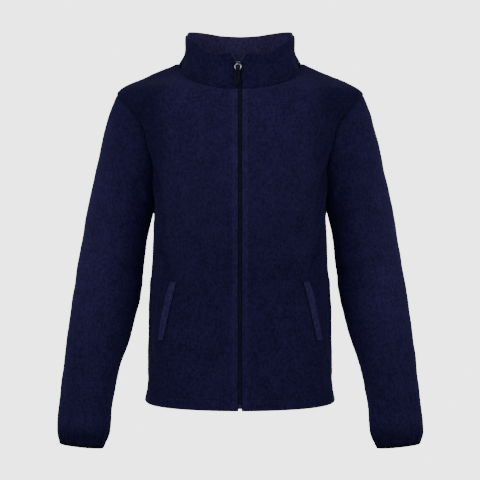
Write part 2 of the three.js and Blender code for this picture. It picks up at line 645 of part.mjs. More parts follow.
// Collar
function collarWall() {
  const half = frontQuarter.at(-1).slice(0, NECK_STEPS + 1).map(({ angle }) => angle)
    .concat(backQuarter.at(-1).slice(0, NECK_STEPS).map(({ angle }) => angle).reverse());
  const round = half.slice(0, -1).map((angle) => -angle).concat([Math.PI], half.slice(0, -1).reverse());
  const rises = COLLAR_RISE.map(({ rise }) => rise);
  const points = rises.map((rise) => round.map((angle) => collar(angle, rise)));
  const normals = rises.map((rise) => Math.max(rise, COLLAR_STEP))
    .map((rise) => round.map((angle) => collarNormal(angle, rise)));
  round.forEach((angle, i) => {
    const { body, collar: own } = neckSeam(angle);
    const end = seamEnd(own, body);
    points[0][i].add(end.shift);
    normals[0][i].copy(end.normal);
  });
  const layers = faces(points, normals, () => COLLAR_WALL);
  roundEdge(layers, rises.length - 1);
  return layers;
}

const collarLayers = collarWall();
add('collar', wall(collarLayers.outer, collarLayers.inner), FLEECE);

// A point on a panel's facets at an angle and height, with the normal there.
function onPanel(panel, grid, angle, z) {
  for (let row = 0; row < grid.length - 1; row += 1) {
    for (let column = 0; column < grid[0].length - 1; column += 1) {
      const cell = cellCorners(row, column, (line, place) => panel.outer[line][place]);
      for (const [i, j, k] of [[0, 1, 2], [0, 2, 3]]) {
        const [a, b, c] = [cell[i], cell[j], cell[k]].map(([r, q]) => new THREE.Vector3(
          grid[r][q].angle * ROUND_BODY, grid[r][q].z, 0));
        const place = new THREE.Vector3(angle * ROUND_BODY, z, 0);
        const share = THREE.Triangle.getBarycoord(place, a, b, c, new THREE.Vector3());
        if (share && Math.min(share.x, share.y, share.z) >= 0) {
          const [p, q, r] = [cell[i], cell[j], cell[k]].map(([line, at]) => panel.outer[line][at]);
          const point = p.clone().multiplyScalar(share.x)
            .addScaledVector(q, share.y)
            .addScaledVector(r, share.z);
          const normal = q.clone().sub(p).cross(r.clone().sub(p)).normalize();
          if (normal.y > 0) normal.negate();
          return { point, normal };
        }
      }
    }
  }
  throw new Error('no panel there');
}

// Pocket welts, strips that lie on the fronts, and the bags behind them
for (const { name, side } of SIDES) {
  const outer = [];
  const inner = [];
  for (let row = 0; row <= WELT_GRID.rows; row += 1) {
    const share = row / WELT_GRID.rows;
    const z = mix(WELT.z0, WELT.z1, share);
    const middle = degrees(mix(WELT.angle0, WELT.angle1, share));
    const places = Array.from({ length: WELT_GRID.columns + 1 }, (_, column) => {
      const across = (column / WELT_GRID.columns - HALFWAY) * WELT.width;
      return onPanel(fronts[name], frontQuarter, middle + across / ROUND_BODY, z);
    });
    const raised = (height) => places.map(({ point, normal }) => point.clone()
      .addScaledVector(normal, height));
    outer.push(raised(WELT.lift + WELT.thick));
    inner.push(raised(WELT.lift));
  }
  add(`pocket_welt_${name}`, wall(outer, inner), FLEECE);

  const patch = fronts[name].inner.slice(BAG.firstRow, BAG.lastRow + 1)
    .map((line, row) => line.slice(BAG.firstColumn, BAG.lastColumn + 1).map((point, column) => {
      const face = fronts[name].outer[row + BAG.firstRow][column + BAG.firstColumn];
      const normal = face.clone().sub(point).normalize();
      return { point, normal, face };
    }));
  const shifted = (depth) => patch.map((line) => line.map(({ point, normal }) => point.clone()
    .addScaledVector(normal, -depth)));
  const guide = patch.map((line) => line.map(({ face }) => face));
  add(`pocket_bag_${name}`, wall(shifted(BAG.gap), shifted(BAG.gap + BAG.thick), false, guide), TRIM);
}

// Zip tapes behind the front edges
for (const { name, side } of SIDES) {
  const { inner, outer } = fronts[name];
  const last = inner.length - 1;
  const line = (row) => {
    const [edge, next] = inner[row];
    const normal = outer[row][0].clone().sub(edge).normalize();
    return [TAPE.inner, TAPE.outer].map((x) => {
      const share = (x * side - edge.x) / (next.x - edge.x);
      return { point: edge.clone().lerp(next, share), normal };
    });
  };
  const rows = [];
  for (let row = HEM_ROWS; row < last; row += 1) rows.push(line(row));
  const top = line(last);
  rows.push(rows.at(-1).map(({ point, normal }, i) => ({
    point: point.clone().lerp(top[i].point, TAPE.end).addScaledVector(normal, -TAPE.ease),
    normal,
  })));
  const shifted = (depth) => rows.map((places) => places.map(({ point, normal }) => point.clone()
    .addScaledVector(normal, -depth)));
  add(`zip_tape_${name}`, wall(shifted(SEAM_GAP), shifted(SEAM_GAP + TAPE.thick)), TRIM);
}

// The zip's line: its middle on the outer face, from the body's hem up to a rise of the collar
const neckAngle = frontQuarter.at(-1)[0].angle;
function collarMiddle(rise) {
  const left = collar(-neckAngle, rise);
  const right = collar(neckAngle, rise);
  return new THREE.Vector3(sliderShift(rise), (left.y + right.y) / 2, left.z);
}

function riseAt(z) {
  const low = neckline(neckAngle).z;
  return (z - low) / (COLLAR_EDGE[0].top - low);
}

function bodyMiddle(z) {
  return new THREE.Vector3(0, torso(angleAtX(FRONT_EDGE, z), z).y, z);
}

function band(middles, left, right, proud, deep) {
  const face = (away) => middles.map((point) => [left, right].map((x) => point.clone()
    .add(new THREE.Vector3(x, away, 0))));
  return wall(face(-proud), face(deep));
}

{
  const sliderFoot = SLIDER.z - SLIDER.bottom - CHAIN.gap;
  const bodyRows = frontQuarter.map((line) => line[0].z).filter((z) => z > BOX.top + BOX.clear);
  const middles = [bodyMiddle(BOX.top + CHAIN.gap), ...bodyRows.slice(0, -1).map(bodyMiddle)];
  COLLAR_RISE.map(({ rise }) => rise).filter((rise) => rise < riseAt(sliderFoot))
    .forEach((rise) => middles.push(collarMiddle(rise)));
  middles.push(collarMiddle(riseAt(sliderFoot)));
  add('zip_chain', band(middles, -CHAIN.half, CHAIN.half, CHAIN.proud, CHAIN.deep), TEETH);

  const boxMiddles = [bodyMiddle(BOX.bottom), bodyMiddle(BOX.top)];
  add('zip_box', band(boxMiddles, -BOX.half, BOX.half, BOX.proud, BOX.deep), TEETH);
}

// The open ends of the chain, along the end faces of the collar's edges above the slider
for (const { name, side } of SIDES) {
  const first = COLLAR_RISE.findIndex(({ rise }) => rise > riseAt(SLIDER.z + SLIDER.top));
  const column = side < 0 ? 0 : collarLayers.outer[0].length - 1;
  const along = (deep) => COLLAR_RISE.slice(first, -1).map((_, i) => {
    const face = collarLayers.outer[first + i][column];
    return face.clone().lerp(collarLayers.inner[first + i][column], deep);
  });
  const reaches = [CHAIN.gap, CHAIN.gap + CHAIN.half];
  const strip = (deep) => along(deep).map((point) => reaches.map((away) => point.clone()
    .add(new THREE.Vector3(-side * away, 0, 0))));
  add(`zip_top_${name}`, wall(strip(CHAIN_TOP.front), strip(CHAIN_TOP.behind)), TEETH);
}

// Solids for joining and cutting
const MERGE_WITHIN = 1e-4;
function toSolid(geometry) {
  const bare = geometry.clone();
  Object.keys(bare.attributes)
    .filter((key) => key !== 'position')
    .forEach((key) => bare.deleteAttribute(key));
  const merged = mergeVertices(bare, MERGE_WITHIN);
  return new wasm.Manifold(new wasm.Mesh({
    numProp: 3,
    vertProperties: new Float32Array(merged.attributes.position.array),
    triVerts: new Uint32Array(merged.index.array),
  }));
}

function toGeometry(solid) {
  const { vertProperties, triVerts } = solid.getMesh();
  const geometry = new THREE.BufferGeometry();
  geometry.setAttribute('position', new THREE.BufferAttribute(vertProperties, 3));
  geometry.setIndex(new THREE.BufferAttribute(triVerts, 1));
  geometry.computeVertexNormals();
  return geometry;
}

function pushedOut(shape, depth) {
  return new THREE.ExtrudeGeometry(shape, { depth, bevelEnabled: false, curveSegments: CURVE_STEPS });
}

// A rounded four-sided outline, wider at one end, standing in the XZ plane and pushed out along Y
function plate(topWidth, bottomWidth, top, bottom, corner, thickness) {
  const shape = new THREE.Shape();
  const sideways = (topWidth - bottomWidth) / 2 / (top - bottom);
  shape.moveTo(-bottomWidth / 2 + corner, bottom);
  shape.lineTo(bottomWidth / 2 - corner, bottom);
  shape.quadraticCurveTo(bottomWidth / 2, bottom, bottomWidth / 2 + sideways * corner, bottom + corner);
  shape.lineTo(topWidth / 2 - sideways * corner, top - corner);
  shape.quadraticCurveTo(topWidth / 2, top, topWidth / 2 - corner, top);
  shape.lineTo(-topWidth / 2 + corner, top);
  shape.quadraticCurveTo(-topWidth / 2, top, -topWidth / 2 + sideways * corner, top - corner);
  shape.lineTo(-bottomWidth / 2 - sideways * corner, bottom + corner);
  shape.quadraticCurveTo(-bottomWidth / 2, bottom, -bottomWidth / 2 + corner, bottom);
  return pushedOut(shape, thickness).rotateX(RIGHT_ANGLE);
}

// Slider with the bridge that holds the ring
const zipFace = collarMiddle(riseAt(SLIDER.z)).y;
const sliderFront = zipFace - SLIDER_FACES.proud;
const hinge = new THREE.Vector3(SLIDER.x, sliderFront - RING.clear - RING.wire, SLIDER.z + BRIDGE.rise);
{
  const top = SLIDER.z + SLIDER.top;
  const bottom = SLIDER.z - SLIDER.bottom;
  const thick = SLIDER_FACES.proud + SLIDER_FACES.deep;
  const body = plate(SLIDER.wide, SLIDER.narrow, top, bottom, SLIDER.corner, thick)
    .translate(SLIDER.x, zipFace + SLIDER_FACES.deep, 0);
  const arch = new THREE.Shape();
  const half = BRIDGE.length / 2;
  const { reach, wall: bar, foot, corner } = BRIDGE;
  arch.moveTo(foot, -half);
  arch.lineTo(-reach + corner, -half);
  arch.quadraticCurveTo(-reach, -half, -reach, -half + corner);
  arch.lineTo(-reach, half - corner);
  arch.quadraticCurveTo(-reach, half, -reach + corner, half);
  arch.lineTo(foot, half);
  arch.lineTo(foot, half - bar);
  arch.lineTo(-reach + bar, half - bar);
  arch.lineTo(-reach + bar, -half + bar);
  arch.lineTo(foot, -half + bar);
  arch.closePath();
  const [alongX, alongY, alongZ] = [0, 1, 2].map((axis) => new THREE.Vector3().setComponent(axis, 1));
  const bridge = pushedOut(arch, BRIDGE.width)
    .applyMatrix4(new THREE.Matrix4().makeBasis(alongY, alongZ, alongX))
    .translate(SLIDER.x - BRIDGE.width / 2, sliderFront, hinge.z);
  add('zip_slider', toGeometry(toSolid(body).add(toSolid(bridge))), PAINTED);
}

// The pull: a ring through the bridge and the grip moulded round its lower end
{
  const pull = new THREE.Group();
  pull.position.copy(hinge);
  pull.rotation.y = degrees(TAB.tilt);
  group.add(pull);
  const ring = (wire) => new THREE.TorusGeometry(RING.radius, wire, RING.sides, RING.steps)
    .rotateX(RIGHT_ANGLE)
    .translate(0, 0, -RING.radius);
  add('pull_ring', ring(RING.wire), STEEL, pull);
  const top = -2 * RING.radius + TAB.above;
  const grip = plate(TAB.width, TAB.width - TAB.taper, top, top - TAB.length, TAB.corner, TAB.thick)
    .translate(0, TAB.thick / 2, 0);
  const channel = ring(RING.wire + SEAM_GAP);
  add('pull_tab', toGeometry(toSolid(grip).subtract(toSolid(channel))), GRIP, pull);
}

export default group;
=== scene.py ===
"""A dark navy fleece jacket with a stand collar and a full-length zip, hollow in its worn form.

Shapes are worked out in millimetres and placed in metres. +Z is up, the front faces -Y, and the
origin is the middle of the neck's base. Left pieces lie at -X.
"""

import bpy
import numpy as np
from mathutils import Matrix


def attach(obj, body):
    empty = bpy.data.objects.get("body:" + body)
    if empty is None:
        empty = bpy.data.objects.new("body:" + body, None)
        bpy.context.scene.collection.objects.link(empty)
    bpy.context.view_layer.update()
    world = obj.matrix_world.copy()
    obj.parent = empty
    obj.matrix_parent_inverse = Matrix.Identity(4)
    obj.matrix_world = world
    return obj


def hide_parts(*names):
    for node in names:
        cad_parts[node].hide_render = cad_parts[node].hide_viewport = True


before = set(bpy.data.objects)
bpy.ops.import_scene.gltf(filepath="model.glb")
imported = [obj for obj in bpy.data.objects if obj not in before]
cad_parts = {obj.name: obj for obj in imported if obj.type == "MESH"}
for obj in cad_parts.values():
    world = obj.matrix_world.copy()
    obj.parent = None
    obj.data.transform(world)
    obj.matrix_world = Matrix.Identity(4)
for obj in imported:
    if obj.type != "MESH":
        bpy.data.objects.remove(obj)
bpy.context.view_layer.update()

MM = 0.001
TURN = 2 * np.pi

# Camera and light


def look_from(place, lens):
    """A camera at the place, level, looking along +Y."""
    camera = bpy.data.objects.new("camera", bpy.data.cameras.new("camera"))
    bpy.context.scene.collection.objects.link(camera)
    camera.location = place
    camera.rotation_euler = (np.pi / 2, 0, 0)
    camera.data.lens = lens
    camera.data.clip_end = 60
    bpy.context.scene.camera = camera


def soft_light(name, place, towards, size, power):
    """A square lamp at the place, facing the point towards."""
    data = bpy.data.lights.new(name, "AREA")
    data.size = size
    data.energy = power
    lamp = bpy.data.objects.new(name, data)
    bpy.context.scene.collection.objects.link(lamp)
    lamp.location = place
    way = np.array(place, float) - np.array(towards, float)
    lamp.rotation_euler = (np.arctan2(np.hypot(way[0], way[1]), way[2]), 0, np.arctan2(way[0], -way[1]))


CAMERA_DISTANCE = 2.8
VIEW_WIDTH = 0.936
look_from((0, -CAMERA_DISTANCE, -0.347), 36 * CAMERA_DISTANCE / VIEW_WIDTH)
soft_light("left", (-2.7, -1.8, 1.0), (0, 0, -0.35), 1.8, 52)
soft_light("right", (2.7, -1.8, 0.9), (0, 0, -0.35), 1.8, 46)
soft_light("front", (0, -2.7, 2.0), (0, 0, -0.3), 1.6, 29)
soft_light("back", (0, 2.6, 1.4), (0, 0, -0.35), 1.8, 20)

# Basic sums


def smooth(x, low, high):
    """0 below low, 1 above high, and 3t^2 - 2t^3 between."""
    t = np.clip((x - low) / (high - low), 0, 1)
    return t * t * (3 - 2 * t)


def mix(a, b, t):
    return a + (b - a) * t


def bell(x):
    return np.exp(-x * x)


def unit(vectors):
    return vectors / np.linalg.norm(vectors, axis=-1, keepdims=True)


def points_of(x, y, z):
    return np.stack(np.broadcast_arrays(x, y, z), axis=-1).astype(float)


def stations(length, pitch, start=(), end=()):
    """Places from 0 to length: the given ones near each end, and even steps between them."""
    low = max(start, default=0)
    high = length - max(end, default=0)
    even = np.linspace(low, high, int(round((high - low) / pitch)) + 1)
    return np.unique(np.concatenate([[0, length], start, even, length - np.array(end, float)]))


def table(columns, *rows):
    """A table with named columns, each an array."""
    return dict(zip(columns.split(), np.array(rows, float).T))


def read(rows, name, at, key="z"):
    """The Hermite cubic through one column, whose slope at a row is that between its neighbours."""
    places, values = rows[key], rows[name]
    before = np.maximum(np.arange(len(places)) - 1, 0)
    after = np.minimum(np.arange(len(places)) + 1, len(places) - 1)
    slopes = (values[after] - values[before]) / (places[after] - places[before])
    row = np.clip(np.searchsorted(places, at) - 1, 0, len(places) - 2)
    span = places[row + 1] - places[row]
    t = np.clip((at - places[row]) / span, 0, 1)
    rest = 1 - t
    return (
        values[row] * rest**2 * (1 + 2 * t)
        + values[row + 1] * t**2 * (3 - 2 * t)
        + span * (slopes[row] * t * rest**2 - slopes[row + 1] * t**2 * rest)
    )


def fold_height(folds, around, radius, z, side, tapered=False):
    """The sum of depth * exp(-(distance / width)^2) over the folds. The distance is that of the
    point (around * radius, z) from the fold's line, and a tapered fold is flat at its ends."""
    around, z, side = np.broadcast_arrays(around, z, side)
    height = np.zeros(around.shape)
    for angle0, z0, angle1, z1, width, depth, only in zip(*folds.values()):
        run, rise = np.radians(angle1 - angle0) * radius, z1 - z0
        x, y = (around - np.radians(angle0)) * radius, z - z0
        t = np.clip((x * run + y * rise) / (run**2 + rise**2), 0, 1)
        away = np.hypot(x - t * run, y - t * rise)
        share = 1 - (2 * t - 1) ** 4 if tapered else 1
        height = height + depth * share * bell(away / width) * ((only == 0) | (side == only))
    return height


def normals_of(surface, a, b, step_a, step_b):
    """The unit cross product of the surface's differences along its two parameters."""
    along_a = surface(a + step_a, b) - surface(a - step_a, b)
    along_b = surface(a, b + step_b) - surface(a, b - step_b)
    return unit(np.cross(along_a, along_b))


# The jacket's sizes

CLOTH = 2.2
HEM_TURN = 19
HEM_TOP = 20.2
FRONT_EDGE = 3
COLLAR_WALL = 4.4
SQUARENESS = 2.4
BODY = table(
    "z width front back seam",
    (-667, 187, 129, 125, 78),
    (-655, 184, 128, 124, 78),
    (-640, 181, 127, 123, 78),
    (-600, 178, 125, 119, 78),
    (-522, 175.5, 121, 111, 78),
    (-464, 174.5, 119, 107, 78),
    (-366, 170, 125, 112, 80),
    (-308, 167, 130, 119, 85),
    (-272, 167, 132, 123, 90),
    (-252, 171, 132, 124, 90),
    (-204, 184, 129, 125, 90),
    (-168, 201, 124, 124, 90),
    (-120, 220, 114, 118, 90),
    (-90, 232, 105, 110, 90),
    (-65, 240, 94, 100, 90),
    (-50.6, 226, 78, 93, 90),
    (-27, 175.5, 42, 80, 90),
    (-3, 121, 12, 64, 90),
    (12, 90, 5, 50, 90),
)
SHOULDER_TIP_Z = -65
ARMPIT_Z = -272
HEM_SIDE = -657
HEM_FRONT_DROP = 9
NECK_SIDE = -3
NECK_FRONT_DROP = 59
NECK_BACK_DROP = 3
SCOOP_FRONT = 32
SCOOP_BACK = 24
SCOOP_HIGH = 0.35
SLEEVE = table(
    "outer_x outer_z inner_x inner_z depth y",
    (250.5, -90, 168.6, -281, 71, 0),
    (261, -125, 170, -290, 70, 1),
    (272, -167, 172, -303, 69, 2),
    (283, -222, 176.5, -323, 67.5, 3),
    (294.5, -270, 181, -347, 66, 4),
    (303, -315, 184.5, -376, 64, 5),
    (311.5, -365, 188.5, -408, 62, 5),
    (319.5, -412, 190.5, -442, 60, 3),
    (326.5, -458, 199, -481, 58, -1),
    (333, -515, 213.4, -537, 54, -8),
    (340, -569, 230.7, -588, 49, -16),
    (346.4, -637, 244.3, -652, 43, -25),
    (351.4, -686, 249, -699, 38, -32),
    (352, -713, 252, -721, 33, -37),
    (347, -731.6, 260, -740, 24, -41),
)
SLEEVE_ROWS = len(SLEEVE["y"])
CUFF = table(
    "rise outer_x outer_z inner_x inner_z depth y",
    (0, 346.9, -732, 260.1, -740.4, 23.9, -41),
    (0.3, 346.7, -734, 261, -742.2, 23.7, -41.3),
    (1, 344.8, -738.6, 263, -747, 22.6, -42),
)
CUFF_WALL = 3.4
CUFF_PROUD = 0.6
GATHERS = 12
GATHER_DEPTH = 1.3
GATHER_START = -700
COLLAR_RISE = table(
    "rise lean", (0, 0), (0.12, 0.3), (0.3, 0.67), (0.57, 0.82), (0.78, 0.92), (0.95, 0.99), (1, 1)
)
LEAN_SIDE, LEAN_FRONT, LEAN_BACK = 18, -1, 4
COLLAR_EDGE = table(
    "degrees top",
    (0, 5),
    (31, 5),
    (40, 13.5),
    (50, 26.5),
    (60, 36.5),
    (75, 46),
    (88, 53.5),
    (102, 61),
    (117, 63.5),
    (132, 62),
    (148, 59),
    (180, 57.5),
)
TROUGH_RISE, TROUGH_REACH, TROUGH_DEPTH = 0.6, 0.2, 1.6
OPEN_START, OPEN_LEFT, OPEN_RIGHT, OPEN_REACH, OPEN_FORWARD = 0.74, 11, 16, 36, 5
SLIDER_ROOM = 2.4
SLIDER_X = -3.5
NECK_MIDDLE = -15
COLLAR_STEP = 0.011

# Folds: angles in degrees, from centre front on the body and from the outer edge on a sleeve
BODY_FOLDS = table(
    "angle0 z0 angle1 z1 width depth side",
    (62, -222, 47, -425, 13, -4.5, 0),
    (68, -262, 56, -400, 12, 3, 0),
    (54, -120, 50, -200, 16, -4, 0),
    (75, -400, 73, -560, 9, -2.5, 0),
    (84, -430, 82, -600, 10, 2.5, 0),
    (40, -586, 66, -578, 7, -2, 1),
    (56, -583, 68, -576, 7, -2, -1),
    (122, -205, 136, -420, 16, -5, 0),
    (110, -262, 122, -470, 14, 3.5, 0),
    (150, -300, 156, -560, 18, -3.5, 1),
    (144, -330, 148, -610, 17, -3.5, -1),
    (128, -470, 168, -450, 13, -2.5, 0),
)
BODY_WRINKLES = table(
    "angle0 z0 angle1 z1 width depth side",
    (51, -92, 54, -138, 6, -1.7, 0),
    (57, -98, 61, -150, 6, 1, 0),
    (70, -203, 75, -230, 5, -3, 1),
    (72, -214, 66, -250, 6, -1.6, -1),
    (50, -190, 43, -262, 13, -1.8, 0),
    (68, -288, 43, -426, 7, -4, 0),
    (62, -300, 44, -392, 9, 1.2, 0),
    (60, -178, 62, -262, 16, -4.5, 0),
    (80, -288, 100, -288, 11, 2.1, 0),
    (73, -300, 62, -372, 5, 1.1, 0),
    (58, -330, 40, -452, 7, 1, -1),
    (54, -316, 41, -398, 7, 1, 1),
    (66, -436, 64, -530, 5, -1, 0),
    (71, -552, 69, -640, 6, 1.2, 0),
    (62, -590, 63, -652, 6, -1, 1),
    (38, -600, 41, -655, 8, -0.8, -1),
    (20, -180, 33, -300, 16, -0.9, 1),
    (18, -240, 27, -372, 15, -0.8, -1),
    (14, -420, 25, -545, 14, -0.8, 0),
    (84, -330, 80, -420, 5, -1.2, 0),
    (95, -300, 102, -392, 6, -1.5, 0),
    (112, -120, 118, -196, 10, -2, 0),
    (128, -150, 146, -238, 12, -1.4, 0),
    (160, -200, 172, -300, 13, -1, -1),
    (165, -420, 158, -520, 11, 1.1, 1),
    (100, -470, 106, -600, 8, -1.4, 0),
    (134, -590, 138, -650, 9, -1.2, 1),
    (150, -500, 178, -492, 9, -1.2, 0),
)
SLEEVE_FOLDS = table(
    "angle0 z0 angle1 z1 width depth side",
    (62, -135, 128, -265, 12, -5, 0),
    (86, -150, 140, -258, 10, 3, 0),
    (88, -250, 92, -350, 13, -2.5, 0),
    (80, -388, 165, -415, 12, -4, 0),
    (100, -440, 178, -452, 11, -3, 0),
    (70, -560, 120, -640, 11, -2.5, 0),
    (300, -140, 235, -270, 13, -5, 0),
    (282, -400, 200, -430, 13, -4, 0),
    (290, -520, 250, -640, 12, -2.5, 0),
)
SLEEVE_WRINKLES = table(
    "angle0 z0 angle1 z1 width depth side",
    (58, -142, 106, -246, 5.5, -3.2, 0),
    (50, -118, 76, -172, 7, 1, 0),
    (112, -270, 150, -318, 6, -1.5, 0),
    (155, -290, 205, -290, 11, 2.1, 0),
    (60, -300, 74, -372, 9, -1.2, 0),
    (98, -372, 158, -394, 5, 1.2, 0),
    (72, -418, 138, -430, 6, -1.3, 1),
    (84, -424, 150, -436, 6, -1.3, -1),
    (112, -478, 168, -494, 7, -1.4, 0),
    (50, -470, 78, -540, 9, -1.1, 1),
    (56, -500, 84, -566, 9, -1.1, -1),
    (86, -590, 118, -648, 6, 1, 0),
    (48, -640, 66, -700, 6, -1.2, 0),
    (96, -656, 104, -712, 5, -1.3, 0),
    (128, -640, 140, -708, 6, -1.1, 0),
    (20, -560, 34, -690, 9, -0.9, 0),
    (310, -210, 250, -300, 7, -1.3, 0),
    (270, -372, 205, -392, 6, 1.1, 0),
    (276, -450, 200, -470, 7, -1.3, 0),
    (300, -600, 268, -690, 7, -1.2, 0),
    (240, -640, 232, -708, 6, -1.2, 0),
)
ROUND_BODY = 150
ROUND_SLEEVE = 62

# The body as a surface of angle and height


def square_round(angle):
    """Sine and cosine, both times (|sin|^q + |cos|^q)^(-1/q): a superellipse of power q."""
    s, c = np.sin(angle), np.cos(angle)
    stretch = (np.abs(s) ** SQUARENESS + np.abs(c) ** SQUARENESS) ** (-1 / SQUARENESS)
    return s * stretch, c * stretch


def plain_body(angle, z):
    """x = half width * s and y = -depth * c on the section at height z."""
    s, c = square_round(angle)
    depth = np.where(c > 0, read(BODY, "front", z), read(BODY, "back", z))
    return points_of(read(BODY, "width", z) * s, -depth * c, z)


def body(angle, z):
    """The plain body moved out along its normal by the height of the folds."""
    out = normals_of(plain_body, angle, z, 0.002, 0.5)
    fade = smooth(np.abs(angle), 0.08, 0.3) * smooth(np.pi - np.abs(angle), 0, 0.1)
    height = fold_height(BODY_FOLDS, np.abs(angle), ROUND_BODY, z, np.sign(angle))
    return plain_body(angle, z) + out * (height * fade)[..., None]


def body_normals(angle, z):
    return normals_of(body, angle, z, 0.004, 0.8)


def angle_at_x(x, z):
    s = x / read(BODY, "width", z)
    return np.arctan2(s, (1 - s**SQUARENESS) ** (1 / SQUARENESS))


def neck_z(angle):
    """The neckline drops by 59 cos^4 in front and by 3 cos^2 behind."""
    c = np.cos(angle)
    return NECK_SIDE - np.where(c > 0, NECK_FRONT_DROP * c**4, NECK_BACK_DROP * c * c)


def hem_z(angle):
    return HEM_SIDE - HEM_FRONT_DROP * np.maximum(np.cos(angle), 0)


def armhole(turn):
    """Angle and height of the armhole: turn runs from the shoulder down the front and up the back."""
    behind = turn > np.pi
    turn = np.where(behind, TURN - turn, turn)
    scoop = np.radians(np.where(behind, SCOOP_BACK, SCOOP_FRONT))
    dip = scoop * np.sin(turn) * (1 + SCOOP_HIGH * np.cos(turn))
    z = mix(SHOULDER_TIP_Z, ARMPIT_Z, (1 - np.cos(turn)) / 2)
    return np.pi / 2 + np.where(behind, dip, -dip), z


NECK_STEPS, SHOULDER_STEPS, SIDE_STEPS, ARMHOLE_STEPS = 7, 6, 13, 12
COLUMNS = NECK_STEPS + SHOULDER_STEPS
ROWS = SIDE_STEPS + ARMHOLE_STEPS
SHOULDER_START = 0.68


def neck_angle():
    """The angle at which the neckline meets the front edge."""
    return angle_at_x(FRONT_EDGE, NECK_SIDE - NECK_FRONT_DROP)


def quarter(behind, row, column):
    """Angle and height on a quarter of the body. Rows run straight from the centre to the side
    seam and armhole, and near the top they lift to meet the neckline and shoulder."""
    row, column = np.meshgrid(row, column, indexing="ij")
    centre = (lambda z: np.full_like(z, np.pi)) if behind else (lambda z: angle_at_x(FRONT_EDGE, z))
    first = centre(np.array(NECK_SIDE - NECK_FRONT_DROP, float))
    start = centre(np.array(HEM_SIDE, float))
    low = hem_z(start) + HEM_TOP
    up = np.maximum(row, 0)
    middle_z = mix(low, neck_z(first), up / ROWS)
    side_seam = np.radians(BODY["seam"][0])
    side_z = mix(hem_z(side_seam) + HEM_TOP, ARMPIT_Z, up / SIDE_STEPS)
    hole_angle, hole_z = armhole(np.pi * (1 - (up - SIDE_STEPS) / ARMHOLE_STEPS))
    if behind:
        hole_angle, hole_z = armhole(TURN - np.pi * np.clip(1 - (up - SIDE_STEPS) / ARMHOLE_STEPS, 0, 1))
    on_hole = up > SIDE_STEPS
    edge_angle = np.where(on_hole, hole_angle, np.radians(read(BODY, "seam", side_z)))
    edge_z = np.where(on_hole, hole_z, side_z)
    top_angle = np.where(column <= NECK_STEPS, mix(first, np.pi / 2, column / NECK_STEPS), np.pi / 2)
    shoulder_z = mix(NECK_SIDE, SHOULDER_TIP_Z, (column - NECK_STEPS) / SHOULDER_STEPS)
    top_z = np.where(column <= NECK_STEPS, neck_z(top_angle), shoulder_z)
    across = column / COLUMNS
    lift = np.maximum((up / ROWS - SHOULDER_START) / (1 - SHOULDER_START), 0) ** 2
    angle = mix(centre(middle_z), edge_angle, across) + lift * (top_angle - mix(first, np.pi / 2, across))
    z = mix(middle_z, edge_z, across) + lift * (top_z - mix(neck_z(first), SHOULDER_TIP_Z, across))
    turned = np.clip(row + 1, 0, 1)
    return angle, np.where(up > 0, z, hem_z(angle) + turned * HEM_TOP)


# Sleeves and collar


def sleeve_rings(turn, side):
    """Every ring at the turns: two beyond the armhole, the armhole, the table's rows, two more."""
    share = (1 - np.cos(turn)) / 2
    angle, z = armhole(np.mod(turn, TURN))
    hole = body(angle * side, z)
    column = {name: values.reshape((-1,) + (1,) * np.ndim(turn)) for name, values in SLEEVE.items()}
    rows = points_of(
        mix(column["outer_x"], column["inner_x"], share) * side,
        column["y"] - column["depth"] * np.sin(turn),
        mix(column["outer_z"], column["inner_z"], share),
    )
    before = 2 * hole - rows[0]
    return np.stack([before, before, hole, *rows, rows[-1], rows[-1]])


def plain_sleeve(turn, along, side):
    """The Catmull-Rom curve along the rings, at each turn round them."""
    turn, along = np.broadcast_arrays(turn, along)
    rings = sleeve_rings(turn, side)
    ring = np.clip(np.floor(along), -1, SLEEVE_ROWS - 1).astype(int)
    t = (along - ring)[..., None]
    knots = [np.take_along_axis(rings, (ring + k)[None, ..., None], axis=0)[0] for k in (1, 2, 3, 4)]
    weights = (-t * (1 - t) ** 2, 2 - 5 * t**2 + 3 * t**3, t + 4 * t**2 - 3 * t**3, -t * t * (1 - t))
    return sum(knot * weight for knot, weight in zip(knots, weights)) / 2


def sleeve(turn, along, side):
    """The plain sleeve moved out by its folds, and near the cuff by cos(12 * turn) gathers."""
    turn, along = np.broadcast_arrays(turn, along)
    point = plain_sleeve(turn, along, side)
    out = normals_of(lambda a, b: plain_sleeve(a, b, side), turn, along, 0.01, 0.01) * side
    fold = fold_height(SLEEVE_FOLDS, np.mod(turn, TURN), ROUND_SLEEVE, point[..., 2], side)
    gather = GATHER_DEPTH * smooth(GATHER_START - point[..., 2], 0, 30) * np.cos(GATHERS * turn)
    return point + out * (fold * smooth(along, 0, 1.5) + gather)[..., None]


def sleeve_normals(turn, along, side):
    return normals_of(lambda a, b: sleeve(a, b, side), turn, along, 0.02, 0.02) * side


